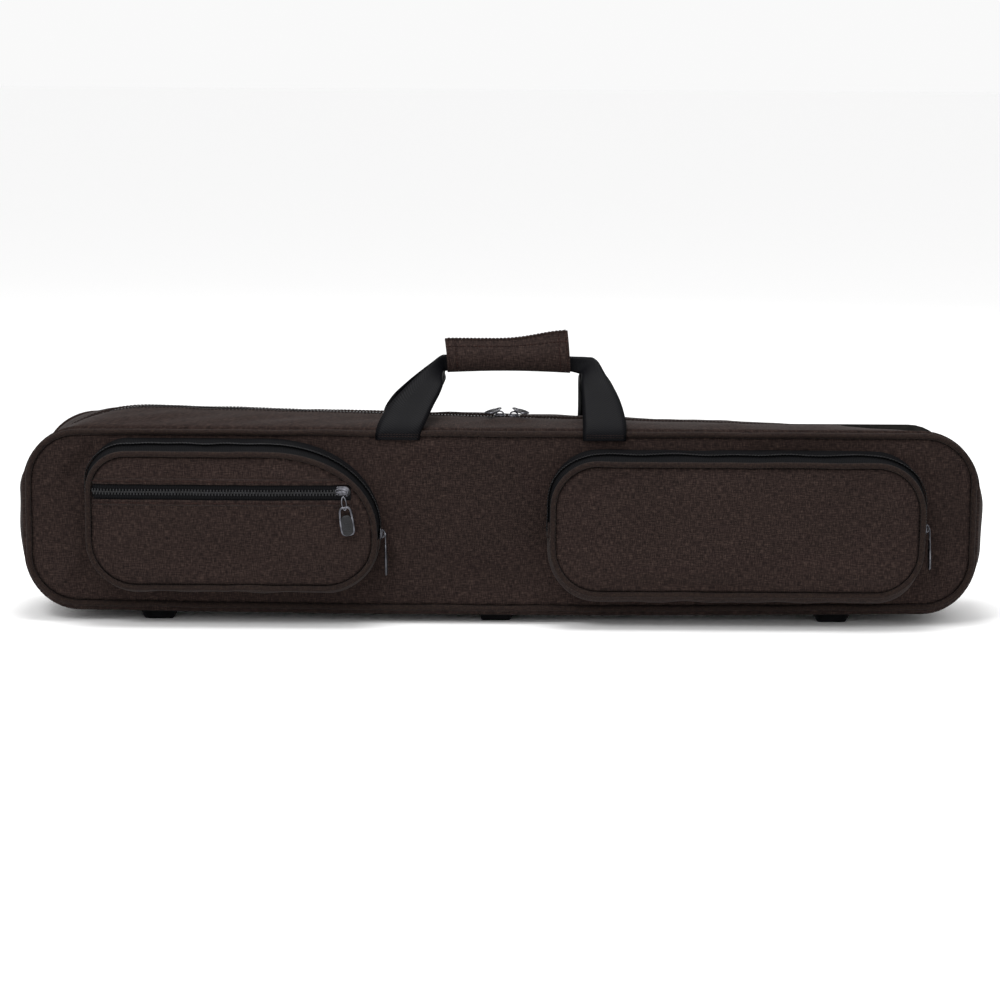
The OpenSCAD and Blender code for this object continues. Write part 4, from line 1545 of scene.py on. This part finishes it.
@dataclass
class Handle:
    """One loop of webbing: two straps that turn on the way up, and the folded run inside the grip."""

    name: str
    body: str
    node: str
    mirrored: bool
    inward: float = 0.0
    strap_sheet: float = 1.7 * MM
    run_sheet: float = 2.6 * MM
    run_y: float = 12.8 * MM

    # Outer then inner edge of each strap in millimetres, from the seam to the grip
    LEFT = (((-113, -47.4, 168), (-73.4, -47.4, 168)), ((-112.6, -47.2, 175), (-72, -47.2, 175)),
            ((-110, -40.5, 184), (-67.5, -40.5, 184)), ((-101.7, -26, 197), (-61, -26, 197)),
            ((-91, -16, 208), (-56, -17, 206)), ((-79, -6, 219), (-53, -8, 214)),
            ((-66, 5, 230), (-53.5, 4, 220)), ((-57, 10.6, 237.2), (-52.5, 11, 223.4)),
            ((-50, 12.4, 238), (-48, 12.6, 224)), ((-38, 12.8, 238), (-38, 12.8, 226)))
    RIGHT = (((112, -47.4, 168), (73, -47.4, 168)), ((112, -47.2, 175), (73, -47.2, 175)),
             ((112, -40.5, 184), (73, -40.5, 184)), ((108.5, -26, 198), (72.6, -26, 198)),
             ((103, -14, 210), (72.2, -15, 209)), ((95, -2, 222), (72, -4, 216)),
             ((87, 9, 234.5), (72.5, 6, 221.5)), ((79, 11.5, 236.5), (69, 10.5, 222.5)),
             ((66, 12.4, 237), (64, 12.6, 223.5)), ((50, 12.8, 238), (50, 12.8, 226)))

    def edges(self, rows: Sequence, count: int = 60) -> tuple[Array, Array]:
        """Smooth edges of a strap, moved to this loop's side.

        Args:
            rows: Outer and inner points, in millimetres.
            count: How many points to return.

        Returns:
            The outer edge and the inner edge.
        """
        sides = []
        for k in (0, 1):
            points = np.array([row[k] for row in rows], float) * MM
            points[:, 0] -= np.sign(points[0, 0]) * self.inward
            if self.mirrored:
                points[:, 1] = 2 * MIDDLE_Y - points[:, 1]
            sides.append(curve(points, count))
        return sides[0], sides[1]

    def build(self) -> None:
        """Makes both straps, the run in the grip, and the tacked ends."""
        pairs = [self.edges(rows) for rows in (self.LEFT, self.RIGHT)]
        straps = [ribbon(outer, inner, self.strap_sheet, 11) for outer, inner in pairs]
        y = 2 * MIDDLE_Y - self.run_y if self.mirrored else self.run_y
        x = np.linspace(-40 * MM, 52 * MM, 12)
        run = [np.stack([x, np.full_like(x, y), np.full_like(x, z * MM)], 1) for z in (238, 226)]
        piece = joined([*straps, ribbon(run[0], run[1], self.run_sheet)]).make(f"{self.name}_webbing_loop")
        finished(piece, WEBBING, self.body, "webbing", self.node)
        tacks = []
        way = 1.0 if self.mirrored else -1.0
        for outer, inner in pairs:
            for row in (3, 5):
                ends = [outer[row] * mix + inner[row] * (1 - mix) for mix in (0.94, 0.06)]
                line = curve(ends, 12) + np.array([0, way * 0.95 * MM, 0])
                out = np.broadcast_to(BACK * way, line.shape)
                tacks.append(stitches(line, out, 2.6 * MM, 2.1 * MM, 0.8 * MM))
        finished(joined(tacks).make(f"{self.name}_root_tacks"), DARK_THREAD, self.body, "webbing")


@dataclass
class Grip:
    """The wrapped grip: a padded sleeve round both loops, open along its top edge."""

    left: float = -49.5 * MM
    right: float = 62.5 * MM
    centre: float = 236.8 * MM
    radius: float = 14.6 * MM
    lip: float = 16.4 * MM
    shear: float = 2.6 * MM
    pinch: float = 0.42

    # Where the seams lie: round the sleeve as places of t, and along it in millimetres from its left end
    SEAMS_ROUND = (0.715, 0.955)
    SEAMS_ALONG = (2.4, 9.0, 103.0, 109.8)

    def profile(self, x: Array, t: Array, way: float) -> Array:
        """Half of the sleeve: t goes from the middle of its base, out and round, to the closed top edge.

        The height is minus the cosine of a half turn; the depth is its sine, pinched towards the top.

        Args:
            x: Places along the grip.
            t: Places round the half sleeve.
            way: Minus one for the front half, one for the rear half.

        Returns:
            Points, a row for every t.
        """
        along = (x - self.left) / (self.right - self.left)
        x, along, t = x[None], along[None], t[:, None]
        ends = smooth(np.abs(along * 2 - 1), 0.75, 1.0)
        lift = 7.8 * MM * smooth(along, 0.35, 1.0) ** 1.6
        belly = 1.6 * MM * np.sin(math.pi * along) - 0.8 * MM
        turn = math.pi * t
        z = -np.cos(turn) * np.where(t < 0.5, self.radius - 1.0 * MM - belly, self.lip + lift)
        pinch = 1 - self.pinch * smooth(t, 0.5, 0.9)
        depth = (self.radius * 0.93 + 0.6 * MM * ends) * np.sin(turn) ** 0.72 * pinch
        depth = depth + 2.1 * MM * smooth(t, 0.86, 0.97) * (1 - smooth(t, 0.97, 1.0) * 0.4)
        depth = depth + 0.15 * MM
        ripple = Ripple(0.45 * MM, 34 * MM, 31).at(x, t * 0.05) * np.sin(turn)
        return np.stack(np.broadcast_arrays(
            x - self.shear * smooth(t, 0.3, 1.0), MIDDLE_Y + way * (depth + ripple), self.centre + z), -1)

    def build(self) -> None:
        """Makes both halves of the sleeve with their stitching."""
        x = np.linspace(self.left, self.right, 60)
        t = np.linspace(0.0, 1.0, 44)
        for way, name, body, node in ((-1.0, "front", "grip_flap", "grip_front"),
                                      (1.0, "rear", "rear_handle", "grip_rear")):
            points = self.profile(x, t, way)
            skin = grid(points).facing_from((0.0065, MIDDLE_Y, self.centre))
            piece = thicken(skin.make(f"grip_wrap_{name}"), 2.4 * MM)
            soft = piece.modifiers.new("soft", "BEVEL")
            soft.width = 0.7 * MM
            soft.segments = 2
            soft.limit_method = "ANGLE"
            finished(piece, CLOTH, body, "heather_cloth", node)
            rows = []
            for level in self.SEAMS_ROUND:
                line = self.profile(np.linspace(self.left + 2 * MM, self.right - 2 * MM, 60),
                                    np.array([level, level + 0.01]), way)[0]
                out = np.broadcast_to(np.array([0, way, 0.35 if level > 0.8 else 0.5]), line.shape)
                rows.append(stitches(line + STITCH_LIFT * unit(out), out))
            for place in self.SEAMS_ALONG:
                across = np.array([self.left + place * MM])
                column = self.profile(across, np.linspace(0.12, 0.94, 40), way)[:, 0]
                out = column - np.array([column[0, 0], MIDDLE_Y, self.centre])
                rows.append(stitches(column + STITCH_LIFT * unit(out), out))
            finished(joined(rows).make(f"grip_stitches_{name}"), THREAD, body, "heather_cloth")


# ---------------------------------------------------------------- stage


@dataclass(frozen=True)
class Stage:
    """Camera, floor and lights."""

    elevation: float = 9.0
    roll: float = 0.33
    distance: float = 2.6
    lens: float = 104.0
    aim: Point = (-0.0009, -0.045, 0.1137)
    floor_half: float = 30.0
    floor_white: str = "#fdfdfd"
    sky: float = 0.95

    # Each softbox: its name, place, size and power
    LIGHTS = (("overhead", (-0.05, -0.25, 1.8), 0.9, 19), ("key", (-0.9, -1.9, 2.1), 0.7, 24),
              ("fill", (1.9, -2.2, 1.2), 1.4, 3), ("rear", (0.6, 2.4, 1.6), 1.4, 6))

    def camera(self) -> None:
        """A long lens, a little above the case and square to its front."""
        data = bpy.data.cameras.new("camera")
        data.lens = self.lens
        data.sensor_width = 36
        data.clip_end = 100
        eye = bpy.data.objects.new("camera", data)
        bpy.context.scene.collection.objects.link(eye)
        lift = math.radians(self.elevation)
        spot = Vector(self.aim) + self.distance * Vector((0, -math.cos(lift), math.sin(lift)))
        turn = (Vector(self.aim) - spot).to_track_quat("-Z", "Y").to_matrix().to_4x4()
        eye.matrix_world = Matrix.Translation(spot) @ turn @ Matrix.Rotation(math.radians(self.roll), 4, "Z")
        bpy.context.scene.camera = eye

    def light(self, name: str, spot: Point, size: float, power: float) -> None:
        """A square softbox that points at the case.

        Args:
            name: Its name.
            spot: Where it stands.
            size: Length of its side.
            power: Its power in watts.
        """
        data = bpy.data.lights.new(name, "AREA")
        data.size = size
        data.energy = power
        lamp = bpy.data.objects.new(name, data)
        bpy.context.scene.collection.objects.link(lamp)
        lamp.location = spot
        lamp.rotation_euler = (Vector((0, 0, 0.1)) - Vector(spot)).to_track_quat("-Z", "Y").to_euler()

    def build(self) -> None:
        """Makes the camera, a white floor, a white sky and the softboxes."""
        self.camera()
        half = self.floor_half
        corners = np.array([[[-half, -half, 0], [half, -half, 0]], [[-half, half, 0], [half, half, 0]]])
        floor = grid(corners).facing_along((0, 0, 1)).make("floor")
        paper = bpy.data.materials.new("white_paper")
        paper.use_nodes = True
        shader = paper.node_tree.nodes["Principled BSDF"]
        shader.inputs["Base Color"].default_value = colour(self.floor_white)
        shader.inputs["Roughness"].default_value = 0.9
        floor.data.materials.append(paper)
        world = bpy.data.worlds.new("sky")
        world.use_nodes = True
        world.node_tree.nodes["Background"].inputs["Color"].default_value = (1, 1, 1, 1)
        world.node_tree.nodes["Background"].inputs["Strength"].default_value = self.sky
        bpy.context.scene.world = world
        for name, spot, size, power in self.LIGHTS:
            self.light(name, spot, size, power)
        bpy.context.scene.view_settings.view_transform = "Standard"


# ---------------------------------------------------------------- the whole case


def pockets() -> tuple[Pocket, Pocket]:
    """The two pockets with their outlines and folds."""
    edges = []
    for name in ("left", "right"):
        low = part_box(f"{name}_pouch_piping")[0]
        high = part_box(f"{name}_flap_piping")[1]
        top = high.z - (3 * MM if name == "left" else 0)
        edges.append((low.x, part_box(f"{name}_pouch_piping")[1].x, low.z, top, top))
    left = Outline(*edges[0], (45 * MM, 45 * MM), (97 * MM, 71 * MM), (35 * MM, 35 * MM), 4 * MM)
    right = Outline(*edges[1], (43 * MM, 43 * MM), (43 * MM, 43 * MM), (43 * MM, 43 * MM), 4 * MM)
    left_creases = (
        Crease((-0.330, 0.100), (-0.180, 0.052), 9 * MM, -2.2 * MM),
        Crease((-0.350, 0.060), (-0.250, 0.040), 6 * MM, 2.0 * MM),
        Crease((-0.150, 0.110), (-0.118, 0.075), 6 * MM, -2.7 * MM),
        Crease((-0.220, 0.145), (-0.150, 0.132), 5 * MM, 2.0 * MM),
    )
    right_creases = (
        Crease((0.060, 0.120), (0.120, 0.145), 6 * MM, -2.7 * MM),
        Crease((0.090, 0.045), (0.250, 0.038), 6 * MM, -3.0 * MM),
        Crease((0.260, 0.060), (0.365, 0.050), 7 * MM, 2.7 * MM),
        Crease((0.300, 0.146), (0.362, 0.120), 6 * MM, -2.2 * MM),
    )
    return (
        Pocket("left", left, ((-0.370, 0.117), (-0.110, 0.076)), 5.0 * MM, left_creases, 41, sag=2.5 * MM,
               top_flare=6.5 * MM),
        Pocket("right", right, ((0.044, 0.084), (0.378, 0.084)), 6.0 * MM, right_creases, 51, sag=5.5 * MM),
    )


def zip_hardware() -> None:
    """Makes the five sliders and five pulls."""
    slope_x = (CROWN.top_right - CROWN.top_left) / CROWN.spans()[2]
    for name, side in (("left", -1.0), ("right", 1.0)):
        low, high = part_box(f"main_slider_{name}")
        x = (low.x + high.x) / 2
        z = (CROWN.top_left + CROWN.top_right) / 2 + slope_x * x + 0.1 * MM
        Slider(f"main_{name}", f"main_slider_{name}", (x, MIDDLE_Y, z), (-side, 0, -side * slope_x),
               (0, 0, 1)).build()
        turn, droop = math.radians(MAIN_PULL_TURN), math.radians(MAIN_PULL_DROOP)
        ahead = np.array([side * math.cos(turn), -math.sin(turn), 0.0])
        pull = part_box(f"main_pull_{name}")
        pivot = (x, MIDDLE_Y - 3 * MM, pull[1].z - 1.4 * MM)
        Pull(f"main_{name}", f"main_pull_{name}", pivot, ahead * math.cos(droop) - UP * math.sin(droop),
             ahead * math.sin(droop) + UP * math.cos(droop), 22 * MM, 10 * MM, 0.5).build()
    for name, x, tilt in (("left", -0.1085, -0.05), ("right", 0.3790, 0.0)):
        low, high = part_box(f"{name}_slider")
        y = (low.y + high.y) / 2
        Slider(name, f"{name}_slider", (x, y, (low.z + high.z) / 2), (tilt, 0, -1), (1, 0, 0.0)).build()
        pull_low, pull_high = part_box(f"{name}_pull")
        Pull(name, f"{name}_pull", (x + 4.2 * MM, y, pull_high.z + 4 * MM), (0.02, 0, -1), (1, 0, 0.02),
             pull_high.z - pull_low.z + 3 * MM, 8 * MM).build()
    low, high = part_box("face_slider")
    Slider("face", "face_slider", ((low.x + high.x) / 2, high.y + 0.6 * MM, (low.z + high.z) / 2), (1, 0, 0),
           (0, -1, 0), 15 * MM, 10 * MM).build()
    low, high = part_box("face_pull")
    Pull("face", "face_pull", ((low.x + high.x) / 2, low.y - 0.4 * MM, high.z), (0.14, 0, -1), (0, -1, 0),
         high.z - low.z + 2 * MM, 13 * MM).build()


def combs() -> None:
    """Makes the foam combs of both halves and their bands."""
    butts = [46 * MM, 92 * MM, 138 * MM]
    shafts = [(35 + 23 * i) * MM for i in range(6)]
    for kind, body, slots, width, depth, facing in (
            ("butt", "rear_shell", butts, 34 * MM, 38 * MM, -1.0),
            ("shaft", "front_shell", shafts, 16 * MM, 18 * MM, 1.0)):
        bands = []
        for place in ("left", "middle", "right"):
            comb = Comb(f"{kind}_comb_{place}", body, f"{kind}_cradle_{place}", slots, width, depth, facing)
            comb.block()
            bands.append(comb.band())
        finished(joined(bands).make(f"{kind}_elastic_bands"), ELASTIC, body, "elastic_tape", f"{kind}_bands")


def base_fold() -> None:
    """Makes the cloth that joins the two shells along the base, where the case opens."""
    x = np.linspace(-365 * MM, 365 * MM, 60)
    across = np.linspace(-7 * MM, 7 * MM, 15)
    z = 5.5 * MM - 0.5 * MM * np.cos(across / (7 * MM) * math.pi / 2)
    gx, gy = np.meshgrid(x, across)
    points = np.stack([gx, MIDDLE_Y + gy, np.broadcast_to(z[:, None], gx.shape)], -1)
    piece = thicken(grid(points).facing_along((0, 0, -1)).make("base_fold_cloth"), 1.2 * MM)
    spanning(piece, CLOTH, ("rear_shell", "front_shell"), (0, MIDDLE_Y + 3 * MM, 6 * MM),
             (0, MIDDLE_Y - 3 * MM, 6 * MM), "heather_cloth")


def dress_frame() -> None:
    """Gives the frame's own nodes that stay in view their finishes."""
    for names, finish in ((("front_stiffener", "rear_stiffener"), BOARD), (("left_face_liner",), FLAT_LINING),
                          (("hinge_tape", "grip_hook_tape", "grip_loop_tape"), HOOK_TAPE)):
        for name in names:
            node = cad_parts[name]
            node.data.materials.clear()
            node.data.materials.append(finish.material())


def front_creases() -> list[Crease]:
    """Folds in the front panel, pulled by its corners and pockets."""
    return [
        Crease((-0.360, 0.166), (-0.398, 0.120), 6 * MM, -3.2 * MM),
        Crease((-0.372, 0.070), (-0.405, 0.030), 7 * MM, 3.6 * MM),
        Crease((-0.100, 0.085), (-0.070, 0.020), 9 * MM, 3.6 * MM),
        Crease((-0.060, 0.060), (0.040, 0.030), 10 * MM, -3.2 * MM),
        Crease((0.384, 0.135), (0.412, 0.160), 6 * MM, 3.6 * MM),
        Crease((0.384, 0.060), (0.408, 0.028), 6 * MM, -3.2 * MM),
        Crease((-0.110, 0.150), (-0.040, 0.166), 7 * MM, 3.0 * MM),
    ]


def main() -> None:
    """Builds the whole case and its stage."""
    logging.basicConfig(level=logging.INFO, format="%(name)s: %(message)s")
    Stage().build()
    front = Shell(Half.FRONT)
    front.build(front_creases())
    Shell(Half.REAR).build([Crease((-0.2, 0.05), (0.1, 0.11), 14 * MM, 0.8 * MM)])
    left, right = pockets()
    left.build()
    right.build()
    FaceZip(left).build()
    zip_hardware()
    Handle("front", "front_handle", "front_webbing", False).build()
    Handle("rear", "rear_handle", "rear_webbing", True, 1.5 * MM).build()
    Grip().build()
    combs()
    base_fold()
    dress_frame()


if __name__ == "__main__":
    main()
